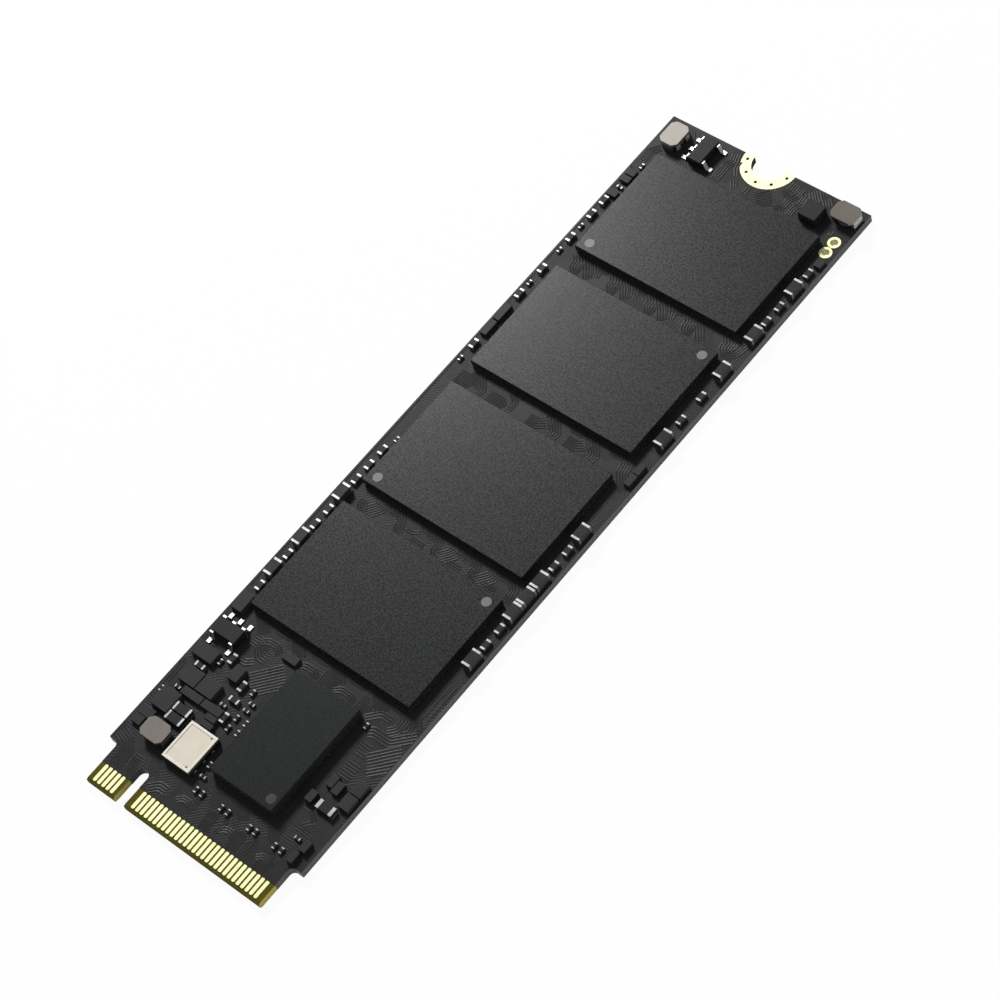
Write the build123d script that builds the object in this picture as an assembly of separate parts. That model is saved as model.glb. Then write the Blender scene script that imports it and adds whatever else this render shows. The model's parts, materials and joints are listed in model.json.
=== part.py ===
"""Solid state drive card of the 22 by 80 mm edge-connector kind, as one fixed assembly.

Frame, in millimetres: X runs to the right seen from the contact end, Y runs along the card
from the contacts to the mounting hole, Z runs up through the board. The origin is the centre
of the underside. Every export is one named piece, or one group of equal small pieces.
"""
import os
from collections import namedtuple
from math import cos, radians, sin

from build123d import *

# Card outline
CARD_WIDTH = 22.0
CARD_LENGTH = 80.0
CARD_THICKNESS = 0.80
SHOULDER_WIDTH = 1.075
TONGUE_WIDTH = CARD_WIDTH - 2 * SHOULDER_WIDTH
TONGUE_LENGTH = 4.0
SHOULDER_RADIUS = 0.5
TIP_BEVEL_LENGTH = 0.24
TIP_BEVEL_DEPTH = 0.10

# Layers: the same thin skin stands for solder mask and for plated copper
SKIN = 0.04
CORE_THICKNESS = CARD_THICKNESS - 2 * SKIN
BOARD_TOP = CARD_THICKNESS
TIP_Y = -CARD_LENGTH / 2
FAR_Y = CARD_LENGTH / 2
SHOULDER_Y = TIP_Y + TONGUE_LENGTH
BARE_LENGTH = 2.0
MASK_LINE_Y = TIP_Y + BARE_LENGTH

# Long edges: where each one is, and which way is inwards
LEFT_EDGE = (-CARD_WIDTH / 2, 1)
RIGHT_EDGE = (CARD_WIDTH / 2, -1)

# Cutters and strips run this far past an edge; corners are found within the small distance
RUN_OUT = 1.0
NEAR = 1e-4

# Edge contacts, numbered across both faces at half the pitch of one face
CONTACT_MARGIN = 0.675
PIN_COUNT = 75
PIN_ONE_X = TONGUE_WIDTH / 2 - CONTACT_MARGIN
PIN_STEP = 2 * PIN_ONE_X / (PIN_COUNT - 1)
CONTACT_WIDTH = 0.36
CONTACT_SETBACK = 0.25
CONTACT_TIP_Y = TIP_Y + CONTACT_SETBACK
CONTACT_CORNER = 0.11
TOP_PINS = tuple(range(1, 58, 2)) + tuple(range(67, 76, 2))
BOTTOM_PINS = tuple(range(2, 59, 2)) + tuple(range(68, 75, 2))

# Key notch between the two banks of contacts
KEY_PIN = 62.5
KEY_CENTRE_X = PIN_ONE_X - (KEY_PIN - 1) * PIN_STEP
KEY_WIDTH = 1.20
KEY_DEPTH = 3.50

# Half hole for the holding screw, with its plated lands and stitching holes
MOUNT_RADIUS = 1.75
LAND_RADIUS = 2.75
STITCH_RADIUS = 2.25
STITCH_HOLE = 0.11
STITCH_SIDES = 8
STITCH_ANGLES = (193.0, 231.5, 270.0, 308.5, 347.0)

# Two plated through holes near the far right corner: (in from the right edge, y)
PLATED_HOLES = ((1.00, 35.95), (1.00, 34.70))
PLATED_LAND = 0.60
PLATED_BORE = 0.36

# Large packages: moulded body on a thin substrate on its solder layer
SUBSTRATE_HEIGHT = 0.20
ATTACH_HEIGHT = 0.12
ATTACH_INSET = 0.15
BODY_EDGE = 0.04
MARK_RADIUS = 0.45
MARK_DEPTH = 0.02

# Memory packages share the room between two lines across the card
MEMORY_COUNT = 4
MEMORY_GAP = 2.50
MEMORY_NEAR_Y = -20.08
MEMORY_FAR_Y = 35.42
MEMORY_LENGTH = (MEMORY_FAR_Y - MEMORY_NEAR_Y + MEMORY_GAP) / MEMORY_COUNT - MEMORY_GAP
MEMORY_PITCH = MEMORY_LENGTH + MEMORY_GAP
MEMORY_LEFT_ROOM = 1.95
MEMORY_RIGHT_ROOM = 2.05
MEMORY_WIDTH = CARD_WIDTH - MEMORY_LEFT_ROOM - MEMORY_RIGHT_ROOM
MEMORY_X = (MEMORY_LEFT_ROOM - MEMORY_RIGHT_ROOM) / 2
MEMORY_HEIGHT = 0.85
MEMORY_MARK_INSET = (1.02, 0.88)

# Controller package: room left between it and each long edge
CONTROLLER_LEFT_ROOM = 9.85
CONTROLLER_RIGHT_ROOM = 5.15
CONTROLLER_WIDTH = CARD_WIDTH - CONTROLLER_LEFT_ROOM - CONTROLLER_RIGHT_ROOM
CONTROLLER_LENGTH = 11.0
CONTROLLER_HEIGHT = 1.15
CONTROLLER_CENTRE = ((CONTROLLER_LEFT_ROOM - CONTROLLER_RIGHT_ROOM) / 2, -28.10)
CONTROLLER_MARK_INSET = (0.74, 0.85)

# Oscillator can: (in from the left edge, y)
CAN_WIDTH = 3.10
CAN_LENGTH = 3.80
CAN_PLACE = (6.95, -33.02)
CAN_BASE_HEIGHT = 0.45
CAN_HEIGHT = 0.80
CAN_RIM = 0.25
CAN_LID_DROP = 0.04

# Chip inductors: (long edge, in from it, y, turned a quarter)
COIL_LENGTH = 2.55
COIL_WIDTH = 2.00
COIL_HEIGHT = 1.00
COIL_PLATE = 0.30
COIL_CORNER = 0.40
COIL_END = 0.38
COIL_CORE_WIDTH = 1.60
COILS = {
    "coil_power": (LEFT_EDGE, 3.50, -33.58, False),
    "coil_far_left": (LEFT_EDGE, 1.92, 37.85, True),
    "coil_far_right": (RIGHT_EDGE, 1.57, 38.60, False),
}

# Five-lead regulators: (in from the left edge, y, turn in degrees)
REGULATOR_LENGTH = 2.90
REGULATOR_WIDTH = 1.48
REGULATOR_HEIGHT = 0.95
REGULATOR_LIFT = 0.05
REGULATOR_DRAFT = 8.0
REGULATORS = ((2.07, -23.13, 0.0), (5.24, 37.79, 90.0))
LEAD_PITCH = 1.10
LEAD_WIDTH = 0.46
LEAD_REACH = 0.92
LEAD_THICKNESS = 0.13
LEAD_SHOULDER = 0.20
LEAD_TOP = 0.80
LEAD_KNEE = 0.42
LEAD_BEND = 0.6
LEAD_SIDES = ((1, (-1, 0, 1)), (-1, (-1, 1)))

# Small dark leadless parts: (in from the named long edge, y, size x, size y, height)
POWER_BLOCKS = (
    (1.06, -20.27, 1.24, 1.86, 0.60),
    (1.70, -25.65, 2.34, 1.32, 0.50),
    (5.40, -25.71, 1.10, 1.42, 0.55),
    (8.22, -21.99, 1.60, 0.80, 0.35),
    (2.30, -28.02, 1.88, 1.56, 0.55),
    (4.30, -28.02, 1.88, 1.56, 0.55),
    (3.50, -29.28, 2.24, 0.74, 0.40),
    (5.80, -29.26, 2.14, 0.76, 0.40),
    (6.35, -30.00, 1.18, 0.56, 0.40),
    (6.52, -30.65, 1.14, 0.56, 0.40),
    (1.94, -30.83, 1.88, 2.02, 0.60),
    (1.36, -32.60, 1.38, 0.88, 0.40),
    (1.12, -33.52, 1.04, 0.84, 0.40),
)
CORNER_BLOCKS = (
    (3.70, -30.52, 0.72, 1.06, 0.50),
    (3.14, -28.49, 0.68, 1.18, 0.40),
    (2.34, -28.77, 0.74, 1.14, 0.40),
    (0.78, -27.82, 1.14, 1.36, 0.50),
    (0.78, -29.29, 1.14, 1.40, 0.50),
    (1.11, -34.14, 0.68, 1.08, 0.45),
    (1.35, -35.38, 0.60, 1.12, 0.45),
)
LEFT_BLOCKS = (
    (0.71, 12.72, 0.70, 1.68, 0.40),
    (0.71, 14.65, 0.70, 1.92, 0.40),
    (0.91, 30.04, 1.00, 0.68, 0.40),
    (0.91, 31.89, 1.00, 0.68, 0.40),
    (0.91, 32.71, 1.00, 0.72, 0.40),
)
RIGHT_BLOCKS = (
    (0.63, 7.01, 0.60, 1.22, 0.40),
    (0.63, 8.26, 0.60, 1.14, 0.40),
    (0.56, 33.31, 0.74, 0.92, 0.40),
)
FAR_BLOCKS = ((4.29, 37.29, 1.87, 1.79, 1.00),)

# Two-ended chips: length, width, height, length of each metal end
Chip = namedtuple("Chip", "length width height end")
LARGE = Chip(1.66, 0.90, 0.80, 0.24)
LOW = Chip(1.74, 0.88, 0.50, 0.36)
NARROW_END = Chip(1.74, 0.88, 0.50, 0.25)
MEDIUM = Chip(1.02, 0.52, 0.38, 0.22)
SMALL = Chip(0.60, 0.32, 0.26, 0.15)
CHIP_RELIEF = 0.02

# Chip places: (in from the named long edge, y); crossed chips lie across the card
LARGE_LEFT = ((1.10, -16.36), (1.10, -12.75), (1.10, -7.45))
LARGE_RIGHT = (
    (0.77, -13.67), (0.77, -8.39), (0.77, -6.65), (0.77, -4.86), (0.77, 0.62),
    (0.77, 11.68), (0.77, 19.82), (0.77, 24.25), (0.77, 29.91),
)
LOW_LEFT_CROSS = ((3.79, -30.79), (3.79, -31.76))
LOW_RIGHT_CROSS = ((1.97, -30.66),)
MEDIUM_LEFT = (
    (1.14, -18.21), (1.14, -14.57), (1.14, -11.03), (1.14, -9.28), (1.14, -5.66),
    (1.14, -3.94), (1.14, -2.15), (0.71, 10.70), (0.71, 17.01), (0.71, 20.20),
    (0.71, 24.22), (0.71, 27.22), (0.71, 29.01),
)
MEDIUM_RIGHT = (
    (0.78, -11.93), (0.78, -10.13), (0.78, -3.04), (0.78, -1.25), (0.78, 14.07),
    (0.78, 16.87), (0.78, 26.00), (0.78, 27.82), (0.78, 31.94),
)
MEDIUM_POWER = ((4.04, -24.80), (6.54, -26.29), (7.26, -29.31))
MEDIUM_POWER_CROSS = ((2.10, -26.84), (6.84, -27.64))
SMALL_EDGE = ((1.42, -0.62), (0.62, 8.92), (0.67, 18.45), (0.67, 22.65), (0.67, 25.72), (1.22, 33.83))
SMALL_EDGE_CROSS = ((0.94, 30.96),)
SMALL_POWER = (
    (3.27, -25.57), (7.66, -26.18), (8.11, -28.71), (8.11, -29.80), (9.13, -28.67),
    (9.13, -29.73), (0.72, -30.23), (9.16, -33.17),
)
SMALL_POWER_CROSS = ((8.32, -27.06), (8.32, -27.78), (6.29, -28.46), (1.82, -29.36), (9.42, -34.30))
SMALL_CORNER = (
    (4.25, -23.15), (12.24, -35.48), (11.54, -35.48), (9.35, -35.48), (8.60, -35.48),
    (6.18, -35.48), (5.50, -35.48), (3.35, -35.48), (2.58, -35.48),
)
SMALL_CORNER_CROSS = ((2.21, -33.93),)


def block(x, y, z, size_x, size_y, height):
    """Plain block centred on x and y that stands on height z."""
    return Pos(x, y, z) * Box(size_x, size_y, height, align=(Align.CENTER, Align.CENTER, Align.MIN))


def area(x_low, x_high, y_low, y_high):
    """Rectangle between two corners."""
    width = x_high - x_low
    length = y_high - y_low
    return Pos(x_low + width / 2, y_low + length / 2) * Rectangle(width, length)


def plate(sketch, z, height):
    """Sketch thickened upwards from height z."""
    return Pos(0, 0, z) * extrude(sketch, amount=height)


def group(solids):
    """Group of separate solids that are exported as one piece."""
    return Compound(children=list(solids))


def placed(edge, rows):
    """Rows that start with a distance in from one long edge, turned into rows that start with x."""
    edge_x, inwards = edge
    return [(edge_x + inwards * row[0], *row[1:]) for row in rows]


def card_outline(inset=0.0):
    """Outline of the card, its edge drawn in by an inset: tongue, shoulders, key notch and half hole."""
    half_width = CARD_WIDTH / 2 - inset
    half_tongue = TONGUE_WIDTH / 2 - inset
    shoulder = SHOULDER_Y + inset
    wide = area(-half_width, half_width, shoulder, FAR_Y - inset)
    tongue = area(-half_tongue, half_tongue, TIP_Y, shoulder + RUN_OUT)
    outline = wide + tongue
    inner_corners = [
        v for v in outline.vertices()
        if abs(v.Y - shoulder) < NEAR and abs(abs(v.X) - half_tongue) < NEAR
    ]
    outline = fillet(inner_corners, SHOULDER_RADIUS + inset)
    key_end_y = TIP_Y + KEY_DEPTH - KEY_WIDTH / 2
    key_half = KEY_WIDTH / 2 + inset
    outline -= area(KEY_CENTRE_X - key_half, KEY_CENTRE_X + key_half, TIP_Y - RUN_OUT, key_end_y)
    outline -= Pos(KEY_CENTRE_X, key_end_y) * Circle(key_half)
    outline -= Pos(0, FAR_Y) * Circle(MOUNT_RADIUS)
    return outline


def masked_strip():
    """Everything behind the line where the solder mask starts."""
    return area(-CARD_WIDTH, CARD_WIDTH, MASK_LINE_Y, FAR_Y + RUN_OUT)


def plated_discs(radius):
    """The two through holes as discs of one radius."""
    discs = [Pos(x, y) * Circle(radius) for x, y in placed(RIGHT_EDGE, PLATED_HOLES)]
    return discs[0] + discs[1]


def board_laminate():
    """Glass laminate core: full width where bare, drawn in by one skin where the mask wraps its edge."""
    bare = card_outline() - masked_strip()
    section = card_outline(SKIN) + bare - plated_discs(PLATED_BORE + SKIN)
    core = plate(section, SKIN, CORE_THICKNESS)
    for z, lean in ((SKIN, 1), (SKIN + CORE_THICKNESS, -1)):
        corner = [(TIP_Y, z), (TIP_Y + TIP_BEVEL_LENGTH, z), (TIP_Y, z + lean * TIP_BEVEL_DEPTH)]
        wedge = make_face(Polyline([(0.0, y, height) for y, height in corner], close=True))
        core -= extrude(wedge, amount=CARD_WIDTH / 2, dir=(1, 0, 0), both=True)
    return core


def solder_mask(z):
    """One face of solder mask, cleared round the mounting land and the plated holes."""
    section = card_outline() & masked_strip()
    section -= Pos(0, FAR_Y) * Circle(LAND_RADIUS)
    section -= plated_discs(PLATED_LAND)
    return plate(section, z, SKIN)


def solder_mask_edge():
    """Mask that wraps the edge of the board behind the bare tongue."""
    section = (card_outline() & masked_strip()) - card_outline(SKIN)
    return plate(section, SKIN, CORE_THICKNESS)


def contact(pin, z):
    """One gold contact with eased front corners that ends at the mask line."""
    x = PIN_ONE_X - (pin - 1) * PIN_STEP
    shape = area(x - CONTACT_WIDTH / 2, x + CONTACT_WIDTH / 2, CONTACT_TIP_Y, MASK_LINE_Y)
    front = [v for v in shape.vertices() if v.Y < CONTACT_TIP_Y + NEAR]
    return plate(chamfer(front, CONTACT_CORNER), z, SKIN)


def contact_row(pins, z):
    """All contacts of one face."""
    return group(contact(pin, z) for pin in pins)


def mounting_land():
    """Plated half rings round the screw's half hole, one on each face, with small stitching holes."""
    near_side = area(-CARD_WIDTH, CARD_WIDTH, 0.0, FAR_Y)
    centre = Pos(0, FAR_Y)
    land = (centre * Circle(LAND_RADIUS) - centre * Circle(MOUNT_RADIUS)) & near_side
    for angle in STITCH_ANGLES:
        x = STITCH_RADIUS * cos(radians(angle))
        y = FAR_Y + STITCH_RADIUS * sin(radians(angle))
        land -= Pos(x, y) * RegularPolygon(STITCH_HOLE, STITCH_SIDES)
    return group([plate(land, 0.0, SKIN), plate(land, CARD_THICKNESS - SKIN, SKIN)])


def plated_hole(x, y):
    """One plated through hole: two lands joined by a barrel."""
    bore = Circle(PLATED_BORE)
    land = Circle(PLATED_LAND) - bore
    barrel = Circle(PLATED_BORE + SKIN) - bore
    hole = plate(barrel, 0.0, CARD_THICKNESS)
    hole += plate(land, 0.0, SKIN)
    hole += plate(land, CARD_THICKNESS - SKIN, SKIN)
    return Pos(x, y, 0) * hole


def package_layers(x, y, width, length, height, mark_place):
    """Body, substrate, solder layer and index mark of one large package that is height tall over the board.

    The mark is let into the top of the body, flush with it.
    """
    attach = block(x, y, BOARD_TOP, width - 2 * ATTACH_INSET, length - 2 * ATTACH_INSET, ATTACH_HEIGHT)
    substrate_z = BOARD_TOP + ATTACH_HEIGHT
    substrate = block(x, y, substrate_z, width, length, SUBSTRATE_HEIGHT)
    body_z = substrate_z + SUBSTRATE_HEIGHT
    body = block(x, y, body_z, width, length, BOARD_TOP + height - body_z)
    body = chamfer(body.faces().sort_by(Axis.Z)[-1].edges(), BODY_EDGE)
    mark = plate(Pos(*mark_place) * Circle(MARK_RADIUS), BOARD_TOP + height - MARK_DEPTH, MARK_DEPTH)
    return body - mark, substrate, attach, mark


def oscillator_can():
    """Ceramic base, raised metal rim and the lid let into the rim."""
    ((x, y),) = placed(LEFT_EDGE, (CAN_PLACE,))
    base = block(x, y, BOARD_TOP, CAN_WIDTH, CAN_LENGTH, CAN_BASE_HEIGHT)
    rim_z = BOARD_TOP + CAN_BASE_HEIGHT
    rim_height = CAN_HEIGHT - CAN_BASE_HEIGHT
    lid_width = CAN_WIDTH - 2 * CAN_RIM
    lid_length = CAN_LENGTH - 2 * CAN_RIM
    rim = block(x, y, rim_z, CAN_WIDTH, CAN_LENGTH, rim_height)
    rim -= block(x, y, rim_z, lid_width, lid_length, rim_height)
    lid = block(x, y, rim_z, lid_width, lid_length, rim_height - CAN_LID_DROP)
    return base, rim, lid


def coil_parts(x, y, turned):
    """Ferrite cap plate, wound core and two metal ends of one chip inductor."""
    cap_z = COIL_HEIGHT - COIL_PLATE
    cap = block(0, 0, cap_z, COIL_LENGTH, COIL_WIDTH, COIL_PLATE)
    cap = chamfer(cap.edges().filter_by(Axis.Z), COIL_CORNER)
    core = block(0, 0, 0, COIL_LENGTH - 2 * COIL_END, COIL_CORE_WIDTH, cap_z)
    end_x = (COIL_LENGTH - COIL_END) / 2
    end_width = COIL_WIDTH - 2 * COIL_CORNER
    ends = [block(side * end_x, 0, 0, COIL_END, end_width, cap_z) for side in (-1, 1)]
    place = Pos(x, y, BOARD_TOP) * Rot(0, 0, 90 if turned else 0)
    return place * cap, place * core, [place * end for end in ends]


def lead(side, slot):
    """One gull-wing lead, from the flank of the body down to its foot on the board."""
    knee_in = LEAD_KNEE - LEAD_THICKNESS * LEAD_BEND
    root_out = LEAD_SHOULDER - LEAD_THICKNESS * LEAD_BEND
    underside = LEAD_TOP - LEAD_THICKNESS
    shoulder = [(0.0, LEAD_TOP), (LEAD_SHOULDER, LEAD_TOP), (LEAD_KNEE, LEAD_THICKNESS)]
    foot = [(LEAD_REACH, LEAD_THICKNESS), (LEAD_REACH, 0.0), (knee_in, 0.0)]
    root = [(root_out, underside), (0.0, underside)]
    flank = side * REGULATOR_WIDTH / 2
    x = slot * LEAD_PITCH
    points = [(x, flank + side * out, height) for out, height in shoulder + foot + root]
    face = make_face(Polyline(points, close=True))
    return extrude(face, amount=LEAD_WIDTH / 2, dir=(1, 0, 0), both=True)


def regulator_parts(x, y, turn):
    """Moulded body and its five leads: three on one flank, two on the other.

    The body is straight where the leads come out and drafted above and below that band.
    """
    outline = Rectangle(REGULATOR_LENGTH, REGULATOR_WIDTH)
    band_z = LEAD_TOP - LEAD_THICKNESS
    body = plate(outline, band_z, LEAD_THICKNESS)
    body += Pos(0, 0, LEAD_TOP) * extrude(outline, amount=REGULATOR_HEIGHT - LEAD_TOP, taper=REGULATOR_DRAFT)
    body += Pos(0, 0, band_z) * extrude(outline, amount=REGULATOR_LIFT - band_z, taper=REGULATOR_DRAFT)
    place = Pos(x, y, BOARD_TOP) * Rot(0, 0, turn)
    leads = [place * lead(side, slot) for side, slots in LEAD_SIDES for slot in slots]
    return place * body, leads


def chip_parts(chip, edge, rows, crossed=False):
    """Bodies and metal ends of two-ended chips placed from one long edge."""
    bodies = []
    ends = []
    body_width = chip.width - 2 * CHIP_RELIEF
    body_height = chip.height - 2 * CHIP_RELIEF
    end_y = (chip.length - chip.end) / 2
    for x, y in placed(edge, rows):
        place = Pos(x, y, BOARD_TOP) * Rot(0, 0, 90 if crossed else 0)
        bodies.append(place * block(0, 0, CHIP_RELIEF, body_width, chip.length - 2 * chip.end, body_height))
        ends += [place * block(0, side * end_y, 0, chip.width, chip.end, chip.height) for side in (-1, 1)]
    return bodies, ends


def joined(*pairs):
    """Bodies and ends of several runs of chips, gathered in two lists."""
    bodies = [body for run, _ in pairs for body in run]
    ends = [end for _, run in pairs for end in run]
    return bodies, ends


def block_group(edge, rows):
    """Small dark parts placed from one long edge."""
    return group(
        block(x, y, BOARD_TOP, size_x, size_y, height)
        for x, y, size_x, size_y, height in placed(edge, rows)
    )


def board_pieces():
    """Board, mask, contacts and plating."""
    return {
        "board_laminate": board_laminate(),
        "solder_mask_top": solder_mask(CARD_THICKNESS - SKIN),
        "solder_mask_bottom": solder_mask(0.0),
        "solder_mask_edge": solder_mask_edge(),
        "contacts_top": contact_row(TOP_PINS, CARD_THICKNESS - SKIN),
        "contacts_bottom": contact_row(BOTTOM_PINS, 0.0),
        "mounting_land": mounting_land(),
        "plated_holes": group(plated_hole(x, y) for x, y in placed(RIGHT_EDGE, PLATED_HOLES)),
    }


def package_pieces():
    """Controller and the four memory packages."""
    x, y = CONTROLLER_CENTRE
    across, along = CONTROLLER_MARK_INSET
    mark_place = (x + CONTROLLER_WIDTH / 2 - across, y - CONTROLLER_LENGTH / 2 + along)
    layers = package_layers(x, y, CONTROLLER_WIDTH, CONTROLLER_LENGTH, CONTROLLER_HEIGHT, mark_place)
    names = ("controller_body", "controller_substrate", "controller_attach", "controller_mark")
    pieces = dict(zip(names, layers))
    substrates = []
    attaches = []
    marks = []
    across, along = MEMORY_MARK_INSET
    for index in range(MEMORY_COUNT):
        y = MEMORY_NEAR_Y + MEMORY_LENGTH / 2 + index * MEMORY_PITCH
        side = 1 if index % 2 == 0 else -1
        mark_place = (MEMORY_X + side * (MEMORY_WIDTH / 2 - across), y + side * (MEMORY_LENGTH / 2 - along))
        body, substrate, attach, mark = package_layers(
            MEMORY_X, y, MEMORY_WIDTH, MEMORY_LENGTH, MEMORY_HEIGHT, mark_place
        )
        pieces[f"memory_{index + 1}_body"] = body
        substrates.append(substrate)
        attaches.append(attach)
        marks.append(mark)
    pieces["memory_substrates"] = group(substrates)
    pieces["memory_attach"] = group(attaches)
    pieces["memory_marks"] = group(marks)
    return pieces


def power_pieces():
    """Oscillator, inductors, regulators and the small dark parts."""
    pieces = {}
    base, rim, lid = oscillator_can()
    pieces["oscillator_base"] = base
    pieces["oscillator_rim"] = rim
    pieces["oscillator_lid"] = lid
    cores = []
    coil_ends = []
    for name, (edge, *place) in COILS.items():
        ((x, y, turned),) = placed(edge, (place,))
        cap, core, ends = coil_parts(x, y, turned)
        pieces[f"{name}_cap"] = cap
        cores.append(core)
        coil_ends += ends
    pieces["coil_cores"] = group(cores)
    pieces["coil_ends"] = group(coil_ends)
    bodies = []
    leads = []
    for x, y, turn in placed(LEFT_EDGE, REGULATORS):
        body, body_leads = regulator_parts(x, y, turn)
        bodies.append(body)
        leads += body_leads
    pieces["regulator_bodies"] = group(bodies)
    pieces["regulator_leads"] = group(leads)
    pieces["power_blocks"] = block_group(LEFT_EDGE, POWER_BLOCKS)
    pieces["corner_blocks"] = block_group(RIGHT_EDGE, CORNER_BLOCKS)
    pieces["left_blocks"] = block_group(LEFT_EDGE, LEFT_BLOCKS)
    pieces["right_blocks"] = block_group(RIGHT_EDGE, RIGHT_BLOCKS)
    pieces["far_block"] = block_group(RIGHT_EDGE, FAR_BLOCKS)
    return pieces


def chip_pieces():
    """Two-ended chips by size and area."""
    runs = {
        "large_left": joined(chip_parts(LARGE, LEFT_EDGE, LARGE_LEFT)),
        "large_right": joined(chip_parts(LARGE, RIGHT_EDGE, LARGE_RIGHT)),
        "low_cross": joined(
            chip_parts(NARROW_END, LEFT_EDGE, LOW_LEFT_CROSS, crossed=True),
            chip_parts(LOW, RIGHT_EDGE, LOW_RIGHT_CROSS, crossed=True),
        ),
        "medium_left": joined(chip_parts(MEDIUM, LEFT_EDGE, MEDIUM_LEFT)),
        "medium_right": joined(chip_parts(MEDIUM, RIGHT_EDGE, MEDIUM_RIGHT)),
        "medium_power": joined(
            chip_parts(MEDIUM, LEFT_EDGE, MEDIUM_POWER),
            chip_parts(MEDIUM, LEFT_EDGE, MEDIUM_POWER_CROSS, crossed=True),
        ),
        "small_edge": joined(
            chip_parts(SMALL, LEFT_EDGE, SMALL_EDGE),
            chip_parts(SMALL, LEFT_EDGE, SMALL_EDGE_CROSS, crossed=True),
        ),
        "small_power": joined(
            chip_parts(SMALL, LEFT_EDGE, SMALL_POWER),
            chip_parts(SMALL, LEFT_EDGE, SMALL_POWER_CROSS, crossed=True),
            chip_parts(SMALL, RIGHT_EDGE, SMALL_CORNER),
            chip_parts(SMALL, RIGHT_EDGE, SMALL_CORNER_CROSS, crossed=True),
        ),
    }
    pieces = {}
    for name, (bodies, ends) in runs.items():
        pieces[f"{name}_chips"] = group(bodies)
        pieces[f"{name}_ends"] = group(ends)
    return pieces


def main():
    """Build every piece and write one file for each."""
    os.makedirs("parts", exist_ok=True)
    pieces = {**board_pieces(), **package_pieces(), **power_pieces(), **chip_pieces()}
    for name, shape in pieces.items():
        export_step(shape, f"parts/{name}.step")
    print(len(pieces), "pieces written")


if __name__ == "__main__":
    main()
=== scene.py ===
"""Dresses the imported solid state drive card: finishes, raised tracks, terminals, light and camera.

Every length is in metres in the frame of the CAD model: X to the right seen from the contact
end, Y along the card towards the mounting hole, Z up out of the face that carries the packages.
"""

import json
import logging
import math
from dataclasses import dataclass, replace
from enum import Enum
from typing import Any, Optional

import bmesh
import bpy
from mathutils import Matrix, Vector

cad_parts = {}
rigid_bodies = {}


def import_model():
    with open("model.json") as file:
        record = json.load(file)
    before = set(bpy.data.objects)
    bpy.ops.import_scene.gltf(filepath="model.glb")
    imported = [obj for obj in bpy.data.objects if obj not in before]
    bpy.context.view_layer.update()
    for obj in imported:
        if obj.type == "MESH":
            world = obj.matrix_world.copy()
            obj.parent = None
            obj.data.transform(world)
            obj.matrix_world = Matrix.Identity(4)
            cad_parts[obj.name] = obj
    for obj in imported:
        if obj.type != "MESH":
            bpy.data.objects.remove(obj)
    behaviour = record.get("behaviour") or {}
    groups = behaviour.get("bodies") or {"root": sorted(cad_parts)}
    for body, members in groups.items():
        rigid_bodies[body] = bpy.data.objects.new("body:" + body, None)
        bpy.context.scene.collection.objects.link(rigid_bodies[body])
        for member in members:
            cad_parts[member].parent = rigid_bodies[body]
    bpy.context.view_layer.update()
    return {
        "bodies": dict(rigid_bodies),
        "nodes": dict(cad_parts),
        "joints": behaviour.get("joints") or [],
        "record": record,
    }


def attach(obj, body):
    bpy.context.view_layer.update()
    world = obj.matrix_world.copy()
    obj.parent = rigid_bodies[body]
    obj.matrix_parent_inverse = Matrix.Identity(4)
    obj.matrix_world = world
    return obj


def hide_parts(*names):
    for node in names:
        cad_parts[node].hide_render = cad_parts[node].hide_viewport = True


MM = 0.001
BODY = "root"
BOARD_TOP = 0.8 * MM
MERGE_DISTANCE = 1e-7
log = logging.getLogger("card")

Colour = tuple[float, float, float]
Shape = bmesh.types.BMesh
Socket = bpy.types.NodeSocket
Tree = bpy.types.NodeTree


class Pattern(Enum):
    """Surface pattern of a finish."""

    GRAIN = "fine even grain"
    WEAVE = "woven glass cloth"
    SATIN = "smooth ink with faint orange peel"
    BRUSH = "fine lines along one direction"
    PLATE = "plated metal with faint stains"
    ROUTES = "ink over fields of fine copper routes"


@dataclass(frozen=True)
class Finish:
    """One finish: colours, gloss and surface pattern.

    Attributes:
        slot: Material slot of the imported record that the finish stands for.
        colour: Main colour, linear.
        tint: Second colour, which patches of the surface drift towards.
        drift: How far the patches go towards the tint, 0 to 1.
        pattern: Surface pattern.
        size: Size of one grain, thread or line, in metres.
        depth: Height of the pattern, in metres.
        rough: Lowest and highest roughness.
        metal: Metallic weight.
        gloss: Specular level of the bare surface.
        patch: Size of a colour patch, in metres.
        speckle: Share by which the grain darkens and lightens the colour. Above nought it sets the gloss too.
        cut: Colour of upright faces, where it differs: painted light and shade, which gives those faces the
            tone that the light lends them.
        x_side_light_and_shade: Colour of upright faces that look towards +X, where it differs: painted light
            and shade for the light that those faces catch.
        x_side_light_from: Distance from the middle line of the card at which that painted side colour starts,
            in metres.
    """

    slot: str
    colour: Colour
    tint: Colour
    drift: float
    pattern: Pattern
    size: float
    depth: float
    rough: tuple[float, float]
    metal: float = 0.0
    gloss: float = 0.5
    patch: float = 1.2 * MM
    speckle: float = 0.0
    cut: Optional[Colour] = None
    x_side_light_and_shade: Optional[Colour] = None
    x_side_light_from: float = 0.0


def grey(level: float) -> Colour:
    """A grey of one level."""
    return level, level, level


# In the finishes below, the colours given for upright faces and for faces that look towards +X are painted
# light and shade: they give those faces the tone that the light lends them.
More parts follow.
